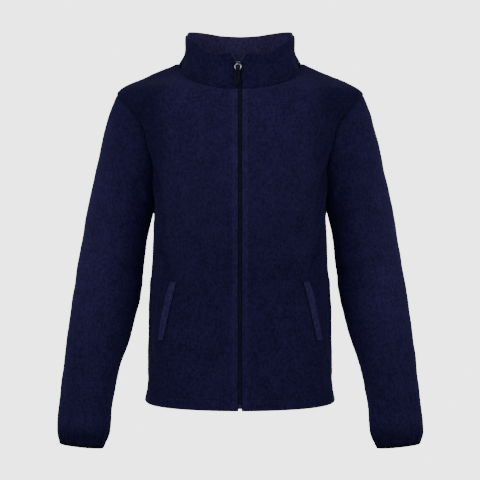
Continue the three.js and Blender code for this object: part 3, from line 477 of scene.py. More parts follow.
def plain_collar(angle, rise):
    """The neckline raised to the collar's top and leaned inwards. Near the front the two sides
    move apart to let the slider in, and higher up to open the collar."""
    angle, rise = np.broadcast_arrays(angle, rise)
    low = neck_z(angle)
    foot = body(angle, low)
    s, c = square_round(angle)
    lean = mix(np.where(c > 0, LEAN_FRONT, LEAN_BACK), LEAN_SIDE, s * s)
    lean = lean * read(COLLAR_RISE, "lean", rise, key="rise")
    inward = unit(points_of(-foot[..., 0], NECK_MIDDLE - foot[..., 1], 0))
    degrees = np.degrees(np.arctan2(np.abs(foot[..., 0]), -foot[..., 1]))
    top = read(COLLAR_EDGE, "top", degrees, key="degrees")
    point = foot + inward * lean[..., None]
    near = bell(point[..., 0] / OPEN_REACH) * (c >= 0)
    opened = smooth(rise, OPEN_START, 1.1) * near
    room = SLIDER_ROOM * smooth(rise, 0.3, 0.57) * near
    apart = np.where(angle < 0, -OPEN_LEFT * opened - room, OPEN_RIGHT * opened + room)
    x = point[..., 0] + apart + SLIDER_X * smooth(rise, 0.1, 0.6) * near
    return points_of(x, point[..., 1] - OPEN_FORWARD * opened, mix(low, top, rise))


def collar(angle, rise):
    """The plain collar with a soft trough round its front."""
    angle, rise = np.broadcast_arrays(angle, rise)
    out = normals_of(plain_collar, angle, rise, 0.004, 0.004)
    trough = TROUGH_DEPTH * bell((rise - TROUGH_RISE) / TROUGH_REACH) * smooth(np.cos(angle), -0.2, 0.3)
    return plain_collar(angle, rise) - out * trough[..., None]


def collar_normals(angle, rise):
    return normals_of(collar, angle, np.maximum(rise, COLLAR_STEP), 0.01, 0.01)


# Seams, edges and the unevenness of cloth


def nearest(points, line):
    """The distance of each point to the nearest of the line's points, and which one that is."""
    flat = points.reshape(-1, 3)
    found = np.empty(len(flat), int)
    for start in range(0, len(flat), 4000):
        part = flat[start : start + 4000]
        gaps = (line**2).sum(1)[None] - 2 * part @ line.T
        found[start : start + 4000] = gaps.argmin(1)
    return np.linalg.norm(flat - line[found], axis=1).reshape(points.shape[:-1]), found.reshape(points.shape[:-1])


def unevenness(points):
    """Five slow waves across one another, of 0.1 to 0.35 mm: no cloth hangs quite evenly."""
    height = 0
    for x, y, z, phase, size in WAVES:
        height = height + size * np.sin(points @ np.array((x, y, z)) + phase)
    return height


WAVES = (
    (0.071, 0.043, 0.034, 0.4, 0.35),
    (-0.052, 0.061, 0.083, 1.9, 0.3),
    (0.118, -0.09, 0.047, 3.1, 0.2),
    (0.033, 0.12, -0.131, 4.4, 0.16),
    (-0.19, 0.05, 0.17, 5.2, 0.1),
)


def puckers(away, along, reach=7, size=0.35):
    """Small waves beside a line of stitches, uneven along it, that die out with distance."""
    wave = np.sin(along * 0.62 + 1.7 * np.sin(along * 0.083)) + 0.6 * np.sin(along * 0.97 + 2)
    return size * wave * bell(away / reach)


def rounding(away, radius):
    """How far a face drops towards the middle of its wall: a quarter circle at a free edge."""
    t = np.clip(1 - away / radius, 0, 1)
    return radius * (1 - np.sqrt(1 - 0.97 * t * t))


ARMHOLE_DIP, NECK_DIP, SIDE_DIP = 3.2, 1.1, 0.9
SEAM_HALF = 2.4
SEAM_BLEND = 7


def armhole_dip(z):
    """The armhole's groove, which is shallow under the arm and on the shoulder."""
    under = smooth(z, ARMPIT_Z, ARMPIT_Z + 45)
    over = 1 - smooth(z, SHOULDER_TIP_Z - 45, SHOULDER_TIP_Z - 8)
    return ARMHOLE_DIP * (0.25 + 0.75 * under * over)


class Cloth:
    """A grid of points with normals, a height on each and a wall behind them. Seams pull the
    heights down and turn the normals to the one that both pieces share there."""

    def __init__(self, points, normals):
        self.points, self.normals = points, normals
        self.height = np.zeros(points.shape[:-1])
        self.wall = np.full(points.shape[:-1], CLOTH)
        self.round = np.zeros(points.shape[:-1])

    def seam(self, line, shared, dip):
        away, which = nearest(self.points, line)
        share = (1 - smooth(away, 0, SEAM_BLEND))[..., None]
        self.normals = unit(mix(self.normals, shared[which], share))
        self.height = self.height - dip * bell(away / SEAM_HALF)
        return away

    def edge(self, away, radius):
        self.round = np.maximum(self.round, rounding(away, radius))

    def faces(self):
        """The outer face, and the inner one a wall's thickness behind it, both rounded at edges."""
        outer = self.points + self.normals * (self.height - self.round)[..., None]
        inner = self.points + self.normals * (self.height - self.wall + self.round)[..., None]
        return outer, inner


def grid_length(points, axis):
    """The distance along a grid from its first line."""
    steps = np.linalg.norm(np.diff(points, axis=axis), axis=-1)
    first = np.zeros_like(np.take(steps, [0], axis=axis))
    return np.concatenate([first, np.cumsum(steps, axis=axis)], axis=axis)


# Meshes


def make_mesh(name, points, quads, corners=None):
    """An object from points in millimetres and faces of four, with an optional map in metres."""
    a, b, c, d = (points[quads[:, i]] for i in range(4))
    volume = (a * np.cross(b, c)).sum() + (a * np.cross(c, d)).sum()
    if volume < 0:
        quads = quads[:, ::-1]
        corners = None if corners is None else corners[:, ::-1]
    mesh = bpy.data.meshes.new(name)
    mesh.vertices.add(len(points))
    mesh.vertices.foreach_set("co", (points * MM).astype(np.float32).ravel())
    mesh.loops.add(quads.size)
    mesh.loops.foreach_set("vertex_index", quads.astype(np.int32).ravel())
    mesh.polygons.add(len(quads))
    mesh.polygons.foreach_set("loop_start", np.arange(0, quads.size, 4, dtype=np.int32))
    mesh.polygons.foreach_set("use_smooth", np.ones(len(quads), bool))
    if corners is not None:
        layer = mesh.uv_layers.new(name="cloth_map")
        layer.data.foreach_set("uv", (corners * MM).astype(np.float32).ravel())
    mesh.update(calc_edges=True)
    mesh.validate()
    piece = bpy.data.objects.new(name, mesh)
    bpy.context.scene.collection.objects.link(piece)
    return piece


def grid_quads(rows, columns, ring):
    """The corners of each cell of a grid, whose columns close on themselves in a ring."""
    index = np.arange(rows * columns).reshape(rows, columns)
    if ring:
        index = np.concatenate([index, index[:, :1]], axis=1)
    cells = (index[:-1, :-1], index[:-1, 1:], index[1:, 1:], index[1:, :-1])
    return index, np.stack(cells, axis=-1).reshape(-1, 4)


def walled(name, outer, inner, ring=False):
    """A closed wall between two grids, mapped by its length round and along."""
    rows, columns = outer.shape[:2]
    index, front = grid_quads(rows, columns, ring)
    behind = index + rows * columns

    def strip(near, far, other_far, other_near):
        return np.stack([near, far, other_far, other_near], axis=-1).reshape(-1, 4)

    rims = [
        strip(index[0, 1:], index[0, :-1], behind[0, :-1], behind[0, 1:]),
        strip(index[-1, :-1], index[-1, 1:], behind[-1, 1:], behind[-1, :-1]),
    ]
    if not ring:
        rims.append(strip(index[:-1, 0], index[1:, 0], behind[1:, 0], behind[:-1, 0]))
        rims.append(strip(index[1:, -1], index[:-1, -1], behind[:-1, -1], behind[1:, -1]))
    quads = np.concatenate([front, front[:, ::-1] + rows * columns, *rims])
    closed = np.concatenate([outer, outer[:, :1]], axis=1) if ring else outer
    across = grid_length(closed, 1)
    along = grid_length(closed, 0)
    where = np.stack([across, along], axis=-1)
    cells = np.stack([where[:-1, :-1], where[:-1, 1:], where[1:, 1:], where[1:, :-1]], axis=2).reshape(-1, 4, 2)
    rim_map = np.zeros((sum(len(r) for r in rims), 4, 2))
    corners = np.concatenate([cells, cells[:, ::-1], rim_map])
    return make_mesh(name, np.concatenate([outer.reshape(-1, 3), inner.reshape(-1, 3)]), quads, corners)


def copies(name, shape, quads, centres, frames):
    """One mesh of many small shapes: each is the same points times its own three axes."""
    points = (shape[None, :, :] @ frames + centres[:, None, :]).reshape(-1, 3)
    faces = (quads[None] + (np.arange(len(centres)) * len(shape))[:, None, None]).reshape(-1, 4)
    return make_mesh(name, points, faces)


def lozenge(around, along):
    """A ball as a grid, with its two ends left as small flat faces."""
    turn = np.arange(around) * TURN / around
    up = np.linspace(-0.94, 0.94, along)
    ring = np.sqrt(1 - up**2)
    points = points_of(ring[:, None] * np.cos(turn), ring[:, None] * np.sin(turn), up[:, None])
    _, quads = grid_quads(along, around, True)
    ends = [[0, 3, 2, 1], [0, 5, 4, 3]] if around == 6 else []
    last = (along - 1) * around
    tops = [[last, last + 1, last + 2, last + 3], [last, last + 3, last + 4, last + 5]] if around == 6 else []
    return points.reshape(-1, 3), np.concatenate([quads, np.array(ends + tops)])


def evenly(line, pitch):
    """Places along a line at an even pitch, with the line's direction at each."""
    length = np.concatenate([[0], np.cumsum(np.linalg.norm(np.diff(line, axis=0), axis=1))])
    count = max(int(length[-1] / pitch), 1)
    places = (np.arange(count) + 0.5) * length[-1] / count
    spread = np.stack([np.interp(places, length, line[:, i]) for i in range(3)], axis=1)
    ahead = np.stack([np.interp(places + 0.5, length, line[:, i]) for i in range(3)], axis=1)
    back = np.stack([np.interp(places - 0.5, length, line[:, i]) for i in range(3)], axis=1)
    return spread, unit(ahead - back), places, length


STITCH = 3.1
STITCH_GAP = 0.8
THREAD = 0.34
STITCH_SHAPE = lozenge(6, 5)


def stitches(name, lines):
    """Rows of stitches: flattened lozenges laid end to end along lines of points and normals."""
    centres, frames = [], []
    for line, normals in lines:
        spread, ahead, places, length = evenly(line, STITCH)
        out = unit(np.stack([np.interp(places, length, normals[:, i]) for i in range(3)], axis=1))
        across = unit(np.cross(out, ahead))
        out = np.cross(ahead, across)
        half = (STITCH - STITCH_GAP) / 2
        centres.append(spread + out * THREAD * 0.4)
        frames.append(np.stack([across * THREAD, out * THREAD * 0.8, ahead * half], axis=1))
    return copies(name, *STITCH_SHAPE, np.concatenate(centres), np.concatenate(frames))


def line_where(points, field, level):
    """On each row of a grid, the point at which the field reaches the level."""
    index = np.clip((field < level).sum(axis=1) - 1, 0, field.shape[1] - 2)[:, None]
    low, high = np.take_along_axis(field, index, 1), np.take_along_axis(field, index + 1, 1)
    t = ((level - low) / (high - low))[..., None]
    a = np.take_along_axis(points, index[..., None], 1)
    b = np.take_along_axis(points, index[..., None] + 1, 1)
    return mix(a, b, t)[:, 0]


# Finishes


class Shade:
    """A node's output, whose sums and products are Math nodes."""

    def __init__(self, paint, socket):
        self.paint, self.socket = paint, socket

    def maths(self, operation, a, b):
        return self.paint.add("ShaderNodeMath", {"operation": operation}, {0: a, 1: b})

    def __add__(self, other):
        return self.maths("ADD", self, other)

    def __sub__(self, other):
        return self.maths("SUBTRACT", self, other)

    def __rsub__(self, other):
        return self.maths("SUBTRACT", other, self)

    def __mul__(self, other):
        return self.maths("MULTIPLY", self, other)

    __radd__ = __add__
    __rmul__ = __mul__


class Paint:
    """One material and its nodes."""

    def __init__(self, name, **surface):
        self.material = bpy.data.materials.new(name)
        self.material.use_nodes = True
        self.tree = self.material.node_tree
        self.tree.nodes.clear()
        self.shader = self.tree.nodes.new("ShaderNodeBsdfPrincipled")
        output = self.tree.nodes.new("ShaderNodeOutputMaterial")
        self.tree.links.new(self.shader.outputs[0], output.inputs["Surface"])
        for socket, value in surface.items():
            self.shader.inputs[socket.replace("_", " ")].default_value = value

    def plug(self, socket, value):
        if isinstance(value, Shade):
            self.tree.links.new(value.socket, socket)
        else:
            socket.default_value = value

    def add(self, kind, settings=None, inputs=None, output=0):
        """A node of that kind, its settings first, then its sockets' values or links."""
        node = self.tree.nodes.new(kind)
        for key, value in (settings or {}).items():
            if key == "stops":
                for stop, (place, color) in zip(node.color_ramp.elements, value):
                    stop.position, stop.color = place, color
            else:
                setattr(node, key, value)
        for key, value in (inputs or {}).items():
            self.plug(node.inputs[key], value)
        return Shade(self, node.outputs[output])

    def place(self, x=1, y=1, z=1):
        """The object's own coordinates in metres, each times a number."""
        spot = self.add("ShaderNodeTexCoord", output="Object")
        return self.add("ShaderNodeVectorMath", {"operation": "MULTIPLY"}, {0: spot, 1: (x, y, z)})

    def cloth_map(self, x=1, y=1):
        spot = self.add("ShaderNodeUVMap", {"uv_map": "cloth_map"})
        return self.add("ShaderNodeVectorMath", {"operation": "MULTIPLY"}, {0: spot, 1: (x, y, 1)})

    def noise(self, place, scale, detail=2, roughness=0.5):
        return self.add(
            "ShaderNodeTexNoise",
            {"noise_dimensions": "3D"},
            {"Vector": place, "Scale": scale, "Detail": detail, "Roughness": roughness},
        )

    def between(self, low, high, share):
        """The colour that lies a share of the way from low to high."""
        ends = {6 + i: (*end, 1) if isinstance(end, tuple) else end for i, end in enumerate((low, high))}
        return self.add("ShaderNodeMix", {"data_type": "RGBA"}, {0: share, **ends}, output=2)

    def part(self, vector, axis):
        return self.add("ShaderNodeSeparateXYZ", None, {0: vector}, output=axis)

    def ramp(self, value, low, high):
        return self.add(
            "ShaderNodeMapRange",
            {"interpolation_type": "SMOOTHSTEP"},
            {"Value": value, "From Min": low, "From Max": high},
        )

    def color(self, value):
        self.plug(self.shader.inputs["Base Color"], value)

    def bump(self, height, distance, strength=1.0):
        out = self.add(
            "ShaderNodeBump", None, {"Height": height, "Distance": distance, "Strength": strength}, output="Normal"
        )
        self.plug(self.shader.inputs["Normal"], out)

    def roughness(self, value):
        self.plug(self.shader.inputs["Roughness"], value)


def linear(red, green, blue):
    """A colour given as 0 to 255 in sRGB, in linear light."""
    shares = np.array((red, green, blue)) / 255
    return tuple(np.where(shares <= 0.04045, shares / 12.92, ((shares + 0.055) / 1.055) ** 2.4).tolist())


def fleece_finish(name, low, high, placket=None, painted_sleeve_light=None):
    """Brushed microfleece: short nap in small soft tufts, laid downwards, with a faint sheen.
    On the fronts painted light makes the chest paler and painted shade darkens the sides, and the
    placket's strip beside the zip is a painted highlight, paler near its top. On the sleeves a
    painted highlight grows paler towards the outside, and painted shade darkens them near the cuffs."""
    paint = Paint(name, Roughness=0.95, Sheen_Weight=0.05, Sheen_Roughness=0.5)
    paint.shader.inputs["Sheen Tint"].default_value = (0.3, 0.3, 0.9, 1)
    paint.shader.inputs["Specular IOR Level"].default_value = 0.06
    tufts = paint.noise(paint.place(1, 1, 0.62), 520, 3, 0.6)
    nap = paint.noise(paint.place(1, 1, 0.35), 1700, 2, 0.7)
    clouds = paint.noise(paint.place(), 26, 2, 0.5)
    patches = paint.noise(paint.place(1, 1, 0.8), 210, 2, 0.55)
    share = paint.ramp(clouds * 0.14 + patches * 0.42 + tufts * 0.44, 0.36, 0.66)
    shade = paint.between(low, high, share)
    if placket:
        # Painted light makes the fronts paler on the chest, and painted shade darkens them towards the sides.
        height, sideways = paint.part(paint.place(), "Z"), paint.part(paint.place(), "X")
        painted_side_shade = paint.ramp(sideways * sideways, 0.014, 0.028)
        painted_chest_light = paint.ramp(height, -0.42, -0.18) * (1 - painted_side_shade) * 0.25
        shade = paint.between(shade, paint.between(*placket, share), painted_chest_light)
        shade = paint.between(shade, PAINTED_SHADE, painted_side_shade * 0.25)
        # The placket's strip beside the zip is a painted highlight, paler near its top.
        across = paint.part(paint.cloth_map(), "X")
        strip = paint.ramp(across, 0.002, 0.004) - paint.ramp(across, 0.0125, 0.0145)
        strip = strip * (paint.ramp(height, -0.66, -0.3) * 0.3 + 0.15)
        shade = paint.between(shade, paint.between(*placket, share), strip)
    if painted_sleeve_light:
        # Painted highlight on the sleeves' outer sides, and painted shade near the cuffs.
        across, height = paint.part(paint.place(), "X"), paint.part(paint.place(), "Z")
        painted_outer_light = paint.ramp(across * across, 0.036, 0.09) * (paint.ramp(height, -0.62, -0.35) * 0.5 + 0.12)
        shade = paint.between(shade, paint.between(*painted_sleeve_light, share), painted_outer_light)
        shade = paint.between(shade, PAINTED_SHADE, paint.ramp(height, -0.69, -0.73) * 0.6)
    paint.color(shade)
    paint.bump(tufts * 0.6 + nap * 0.4, 0.0008, 0.8)
    return paint.material


def woven_finish(name, low, high, threads):
    """Narrow woven trim: two sets of ribs across each other, and a little unevenness."""
    paint = Paint(name, Roughness=0.85)
    paint.shader.inputs["Specular IOR Level"].default_value = 0.1
    spot = paint.cloth_map()
    ribs = paint.add("ShaderNodeTexWave", {"bands_direction": "X"}, {"Vector": spot, "Scale": threads / 20})
    rows = paint.add("ShaderNodeTexWave", {"bands_direction": "Y"}, {"Vector": spot, "Scale": threads / 16})
    weave = ribs * rows + paint.noise(paint.place(), 500, 2) * 0.3
    paint.color(paint.between(low, high, paint.ramp(weave, 0.1, 0.9)))
    paint.bump(weave, 0.0003, 0.7)
    return paint.material


def thread_finish(name, low, high):
    """Twisted thread: fine slanting ridges."""
    paint = Paint(name, Roughness=0.7)
    paint.shader.inputs["Specular IOR Level"].default_value = 0.2
    twist = paint.add(
        "ShaderNodeTexWave", {"bands_direction": "DIAGONAL"}, {"Vector": paint.place(), "Scale": 500, "Distortion": 1}
    )
    paint.color(paint.between(low, high, twist))
    paint.bump(twist, 0.0001, 0.5)
    return paint.material


def moulded_finish(name, low, high, gloss):
    """Moulded plastic, satin, with faint flow marks and specks."""
    paint = Paint(name)
    paint.shader.inputs["Specular IOR Level"].default_value = gloss
    marks = paint.noise(paint.place(), 300, 3)
    specks = paint.noise(paint.place(), 2400, 1)
    paint.color(paint.between(low, high, paint.ramp(marks, 0.35, 0.7)))
    paint.roughness(marks * 0.2 + specks * 0.15 + 0.28)
    paint.bump(specks, 0.00008, 0.5)
    return paint.material


def painted_finish(name, low, high):
    """Baked enamel on metal: glossy, faintly rippled, rubbed a little duller in places."""
    paint = Paint(name, Coat_Weight=0.4, Coat_Roughness=0.15)
    paint.shader.inputs["Specular IOR Level"].default_value = 0.35
    ripple = paint.noise(paint.place(), 700, 1)
    rubbed = paint.noise(paint.place(), 190, 3)
    paint.color(paint.between(low, high, paint.ramp(rubbed, 0.4, 0.7)))
    paint.roughness(rubbed * 0.25 + 0.2)
    paint.bump(ripple, 0.00006, 0.5)
    return paint.material


def steel_finish():
    """Plated metal: bright, with hair-fine wear and a few duller places."""
    paint = Paint("plated_metal", Metallic=1.0)
    wear = paint.noise(paint.place(), 260, 3)
    hairs = paint.noise(paint.place(1, 6, 1), 1800, 2)
    paint.color(paint.between((0.55, 0.56, 0.58), (0.82, 0.83, 0.85), paint.ramp(wear, 0.3, 0.65)))
    paint.roughness(wear * 0.18 + hairs * 0.12 + 0.1)
    paint.bump(hairs, 0.00005, 0.4)
    return paint.material


def floor_finish():
    """Pale matt paper, with a very faint grain."""
    paint = Paint("pale_paper", Roughness=0.95)
    grain = paint.noise(paint.place(), 3, 2)
    paint.color(paint.between((0.86, 0.86, 0.86), (0.9, 0.9, 0.9), grain))
    return paint.material


FLEECE_SHADES = linear(14, 10, 38), linear(29, 23, 60)
# Lit shades of the fleece for painted light on chests, placket strips, sleeves' outsides and welts.
LIT_SHADES = linear(27, 21, 54), linear(46, 38, 80)
# Painted shade for the fronts' sides and the sleeves' ends at the cuffs.
PAINTED_SHADE = linear(4, 3, 22)
# The collar's inside is paler: partly the inner face's own fleece, partly painted light where it faces the lamps.
INSIDE_SHADES = linear(32, 25, 56), linear(52, 43, 84)
FLEECE = fleece_finish("navy_fleece", *FLEECE_SHADES)
FRONT_FLEECE = fleece_finish("navy_fleece_with_placket", *FLEECE_SHADES, placket=LIT_SHADES)
SLEEVE_FLEECE = fleece_finish("navy_fleece_of_sleeves", *FLEECE_SHADES, painted_sleeve_light=LIT_SHADES)
# The welts are a lit copy of the fleece: painted light.
LIT_WELT_FLEECE = fleece_finish("welt_fleece_painted_light", *LIT_SHADES)
INSIDE_FLEECE = fleece_finish("collar_inside", *INSIDE_SHADES)
BINDING = woven_finish("cuff_binding", linear(1, 1, 11), linear(5, 4, 23), 9000)
TAPE_WEAVE = woven_finish("zip_tape_weave", linear(4, 4, 20), linear(12, 12, 38), 14000)
POCKET_KNIT = woven_finish("pocket_knit", linear(6, 6, 26), linear(18, 18, 48), 7000)
THREAD_FINISH = thread_finish("thread", linear(18, 18, 48), linear(34, 34, 70))
CORD_FINISH = thread_finish("zip_cord", linear(6, 6, 26), linear(16, 15, 46))
TEETH = moulded_finish("moulded_teeth", linear(8, 7, 34), linear(20, 18, 58), 0.3)
GRIP = moulded_finish("moulded_grip", linear(3, 3, 18), linear(9, 8, 30), 0.1)
SLIDER_PAINT = painted_finish("slider_paint", linear(6, 6, 22), linear(16, 16, 40))
METAL = steel_finish()
FLOOR = floor_finish()


def dress(piece, finish, nodes=(), body_name="jacket"):
    """Gives a piece its finish, the nodes that it stands for and its body."""
    piece.data.materials.append(finish)
    if nodes:
        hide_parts(*nodes)
    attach(piece, body_name)
    return piece


# Body panels

SIDES = (("left", -1), ("right", 1))
EDGE_STATIONS = (0.004, 0.012, 0.026, 0.045, 0.07, 0.11, 0.17, 0.25, 0.34)
SEAM_STATIONS = (0.03, 0.065, 0.105, 0.15, 0.21, 0.29, 0.38)
HEM_STATIONS = (0.006, 0.02, 0.045, 0.08, 0.11, 0.16)
PANEL_COLUMNS = stations(COLUMNS, 0.155, EDGE_STATIONS, SEAM_STATIONS)
BACK_COLUMNS = stations(COLUMNS, 0.155, (), SEAM_STATIONS)
HEM_STITCH = HEM_TURN / HEM_TOP
HEM_ROWS = np.unique(np.concatenate([stations(1, 0.115, HEM_STATIONS), [HEM_STITCH - 0.05, HEM_STITCH, 1 - 0.02]])) - 1
PANEL_ROWS = np.concatenate([HEM_ROWS[:-1], stations(ROWS, 0.125, (), SEAM_STATIONS)])
PLACKET_LINES = (8, 16)
PLACKET_RISE = 0.9


def armhole_line(side, count=900):
    """The armhole seam's points and the normals that the body and the sleeve share there."""
    turn = np.linspace(0, TURN, count)
    angle, z = armhole(turn)
    own = body_normals(angle * side, z)
    shared = unit(own + sleeve_normals(turn, np.zeros_like(turn), side))
    return body(angle * side, z), shared


def neck_line(count=900):
    """The neck seam's points and the normals that the body and the collar share there."""
    first = float(neck_angle())
    angle = np.linspace(first, TURN - first, count)
    angle = np.where(angle > np.pi, angle - TURN, angle)
    z = neck_z(angle)
    own = body_normals(angle, z)
    return body(angle, z), unit(own + collar_normals(angle, np.zeros_like(angle)))


ARMHOLES = {side: armhole_line(side) for _, side in SIDES}
NECK_SEAM = neck_line()


def shoulder_line(side):
    z = np.linspace(NECK_SIDE, SHOULDER_TIP_Z, 300)
    angle = np.full_like(z, np.pi / 2 * side)
    return body(angle, z), body_normals(angle, z)


def side_line(side):
    z = np.linspace(HEM_SIDE - 3, ARMPIT_Z, 900)
    angle = np.radians(read(BODY, "seam", z)) * side
    return body(angle, z), body_normals(angle, z)


def sewn_quarter(behind, side, columns):
    """A quarter of the body with its wrinkles, seams and turned hem."""
    angle, z = quarter(behind, PANEL_ROWS, columns)
    angle = angle * side
    piece = Cloth(body(angle, z), body_normals(angle, z))
    wrinkles = fold_height(BODY_WRINKLES, np.abs(angle), ROUND_BODY, z, side, tapered=True)
    fade = smooth(np.pi - np.abs(angle), 0, 0.1)
    piece.height += wrinkles * fade + unevenness(piece.points)
    for (line, shared), dip in ((ARMHOLES[side], armhole_dip(z)), (NECK_SEAM, NECK_DIP)):
        away = piece.seam(line, shared, dip)
        piece.height += puckers(away, z + angle * ROUND_BODY, 8, 0.25) * smooth(away, 0, 3)
    for line, shared in (side_line(side), shoulder_line(side)):
        away = piece.seam(line, shared, SIDE_DIP)
        piece.height += puckers(away, z, 9, 0.3) * smooth(away, 0, 3)
    above = z - hem_z(angle)
    in_turn = 1 - smooth(above, HEM_TURN - 1.2, HEM_TURN + 0.4)
    piece.wall += CLOTH * in_turn
    piece.height += 0.5 * in_turn * smooth(above, 0, 5) - 0.9 * bell((above - HEM_TURN) / 1.5)
    piece.height += puckers(above - HEM_TURN, np.abs(angle) * ROUND_BODY, 8, 0.4)
    piece.edge(above, CLOTH)
    return piece, angle, z


fronts = {}
thread_lines = []
for name, side in SIDES:
    piece, angle, z = sewn_quarter(False, side, PANEL_COLUMNS)
    across = grid_length(piece.points, 1)
    strip = smooth(across, 0, 1.5) * (1 - smooth(across, PLACKET_LINES[1] - 2, PLACKET_LINES[1]))
    piece.height += PLACKET_RISE * strip
    for line in PLACKET_LINES:
        piece.height -= 0.55 * bell((across - line + 0.5) / 1.1)
    piece.height += puckers(across - PLACKET_LINES[1], z, 7, 0.3)
    piece.edge(across, CLOTH / 2)
    outer, inner = piece.faces()
    fronts[name] = (piece, outer, angle, z)
    front = dress(walled(f"front_{name}_cloth", outer, inner), FRONT_FLEECE, [f"front_{name}"])
    for line in PLACKET_LINES:
        at = slice(8, None)
        thread_lines.append((line_where(outer, across, line)[at], line_where(piece.normals, across, line)[at]))
    hem_row = int(np.argmin(np.abs(PANEL_ROWS - (HEM_STITCH - 1))))
    part = across[hem_row] > PLACKET_LINES[0]
    thread_lines.append((outer[hem_row][part], piece.normals[hem_row][part]))

halves = [sewn_quarter(True, side, BACK_COLUMNS) for _, side in SIDES]
back_faces = [piece.faces() for piece, _, _ in halves]


def joined(left, right):
    """Two quarters side by side, the left one turned round, with one centre line."""
    return np.concatenate([left[:, ::-1], right[:, 1:]], axis=1)


back_outer, back_inner = (joined(back_faces[0][i], back_faces[1][i]) for i in (0, 1))
back_normals = joined(halves[0][0].normals, halves[1][0].normals)
back = dress(walled("back_cloth", back_outer, back_inner), FLEECE, ["back"])
thread_lines.append((back_outer[hem_row], back_normals[hem_row]))

# Sleeves and cuffs

SLEEVE_TURNS = np.arange(128) * TURN / 128
SLEEVE_ALONG = stations(SLEEVE_ROWS, 0.082, (0.03, 0.065, 0.11, 0.17, 0.25), (0.03, 0.08, 0.15))
UNDERARM = np.pi
INTO_BINDING = 1.4
for name, side in SIDES:
    turn, along = np.meshgrid(SLEEVE_TURNS, SLEEVE_ALONG)
    piece = Cloth(sleeve(turn, along, side), sleeve_normals(turn, along, side))
    piece.points[..., 2] -= INTO_BINDING * smooth(along, SLEEVE_ROWS - 0.12, SLEEVE_ROWS)
    height_z = piece.points[..., 2]
    wrinkles = fold_height(SLEEVE_WRINKLES, turn, ROUND_SLEEVE, height_z, side, tapered=True)
    piece.height += (wrinkles + unevenness(piece.points + (0, 0, 40 * side))) * smooth(along, 0, 1)
    pulled = smooth(-689 - height_z, 0, 34) * (1 - 0.7 * smooth(along, SLEEVE_ROWS - 0.6, SLEEVE_ROWS))
    piece.height += pulled * (0.9 * np.cos(31 * turn + 0.8) + 0.55 * np.cos(47 * turn + 2 * side))
    away = piece.seam(*ARMHOLES[side], armhole_dip(height_z))
    piece.height += puckers(away, turn * ROUND_SLEEVE, 8, 0.3) * smooth(away, 0, 3)
    under = np.abs(turn - UNDERARM) * ROUND_SLEEVE
    piece.height -= 0.8 * bell(under / 1.8)
    piece.height += puckers(under, height_z, 8, 0.25)
    outer, inner = piece.faces()
    arm = dress(walled(f"sleeve_{name}_cloth", outer, inner, ring=True), SLEEVE_FLEECE, [f"sleeve_{name}"])

    round_turn = np.arange(288) * TURN / 288
    profile = np.linspace(0, TURN, 20, endpoint=False)
    turn, up = np.meshgrid(round_turn, 0.5 - 0.5 * np.cos(profile))
    share = (1 - np.cos(turn)) / 2
    column = {key: read(CUFF, key, up, key="rise") for key in ("outer_x", "outer_z", "inner_x", "inner_z", "depth", "y")}
    ring = points_of(
        mix(column["outer_x"], column["inner_x"], share) * side,
        column["y"] - column["depth"] * np.sin(turn),
        mix(column["outer_z"], column["inner_z"], share),
    )
    out_way = points_of(np.cos(turn) * side, -np.sin(turn), 0)
    bulge = np.sign(np.sin(profile)) * np.abs(np.sin(profile)) ** 0.6
    rib = 0.28 * np.cos(58 * turn + np.sin(5 * turn)) + 0.2 * np.cos(37 * turn + side)
    depth = CUFF_PROUD - CUFF_WALL / 2 + bulge[:, None] * (CUFF_WALL / 2 + rib * (bulge[:, None] > 0))
    band = ring + out_way * depth[..., None]
    band = np.concatenate([band, band[:1]], axis=0)
    _, quads = grid_quads(*band.shape[:2], True)
    quads = quads % ((band.shape[0] - 1) * band.shape[1])
    lengths = np.concatenate([band, band[:, :1]], axis=1)
    where = np.stack([grid_length(lengths, 1), grid_length(lengths, 0)], axis=-1)
    corners = np.stack([where[:-1, :-1], where[:-1, 1:], where[1:, 1:], where[1:, :-1]], axis=2).reshape(-1, 4, 2)
    cuff = make_mesh(f"cuff_{name}_binding", band[:-1].reshape(-1, 3), quads, corners)
    dress(cuff, BINDING, [f"cuff_{name}"])

# Collar

COLLAR_HOLLOW = 4
first = float(neck_angle())
half = stations(np.pi - first, 0.023, (0.0006, 0.002, 0.005, 0.009, 0.015, 0.024, 0.04))
collar_angles = np.concatenate([-(first + half), (first + half)[:-1][::-1]])
collar_rises = stations(1, 0.024, (0.008, 0.018, 0.03), (0.004, 0.012, 0.022, 0.036))
angle, rise = np.meshgrid(collar_angles, collar_rises)
piece = Cloth(collar(angle, rise), collar_normals(angle, rise))
piece.wall += COLLAR_WALL - CLOTH
piece.height += unevenness(piece.points * 1.4) * 0.8 * smooth(rise, 0, 0.2)
degrees = np.degrees(np.abs(angle))
hollow = bell((piece.points[..., 2] + 4) / 9) * smooth(degrees, 20, 50) * (1 - smooth(degrees, 80, 105))
piece.height -= COLLAR_HOLLOW * hollow
away = piece.seam(*NECK_SEAM, NECK_DIP)
piece.height += puckers(away, angle * 100, 8, 0.3) * smooth(away, 0, 3)
from_top = grid_length(piece.points[::-1], 0)[::-1]
around = grid_length(piece.points, 1)
from_end = np.minimum(around, around[:, -1:] - around)
piece.edge(from_top, COLLAR_WALL / 2)
piece.edge(from_end, COLLAR_WALL / 2)
piece.height -= 0.5 * bell((from_end - 8) / 1.2)
piece.height += puckers(from_end - 8, from_top, 7, 0.3) * smooth(from_end, 0, 3)
collar_outer, collar_inner = piece.faces()
stand = dress(walled("collar_cloth", collar_outer, collar_inner), FLEECE, ["collar"])
stand.data.materials.append(INSIDE_FLEECE)
face = np.arange(len(stand.data.polygons)) / ((len(collar_rises) - 1) * (len(collar_angles) - 1))
stand.data.polygons.foreach_set("material_index", ((face >= 1) & (face < 2)).astype(np.int32))
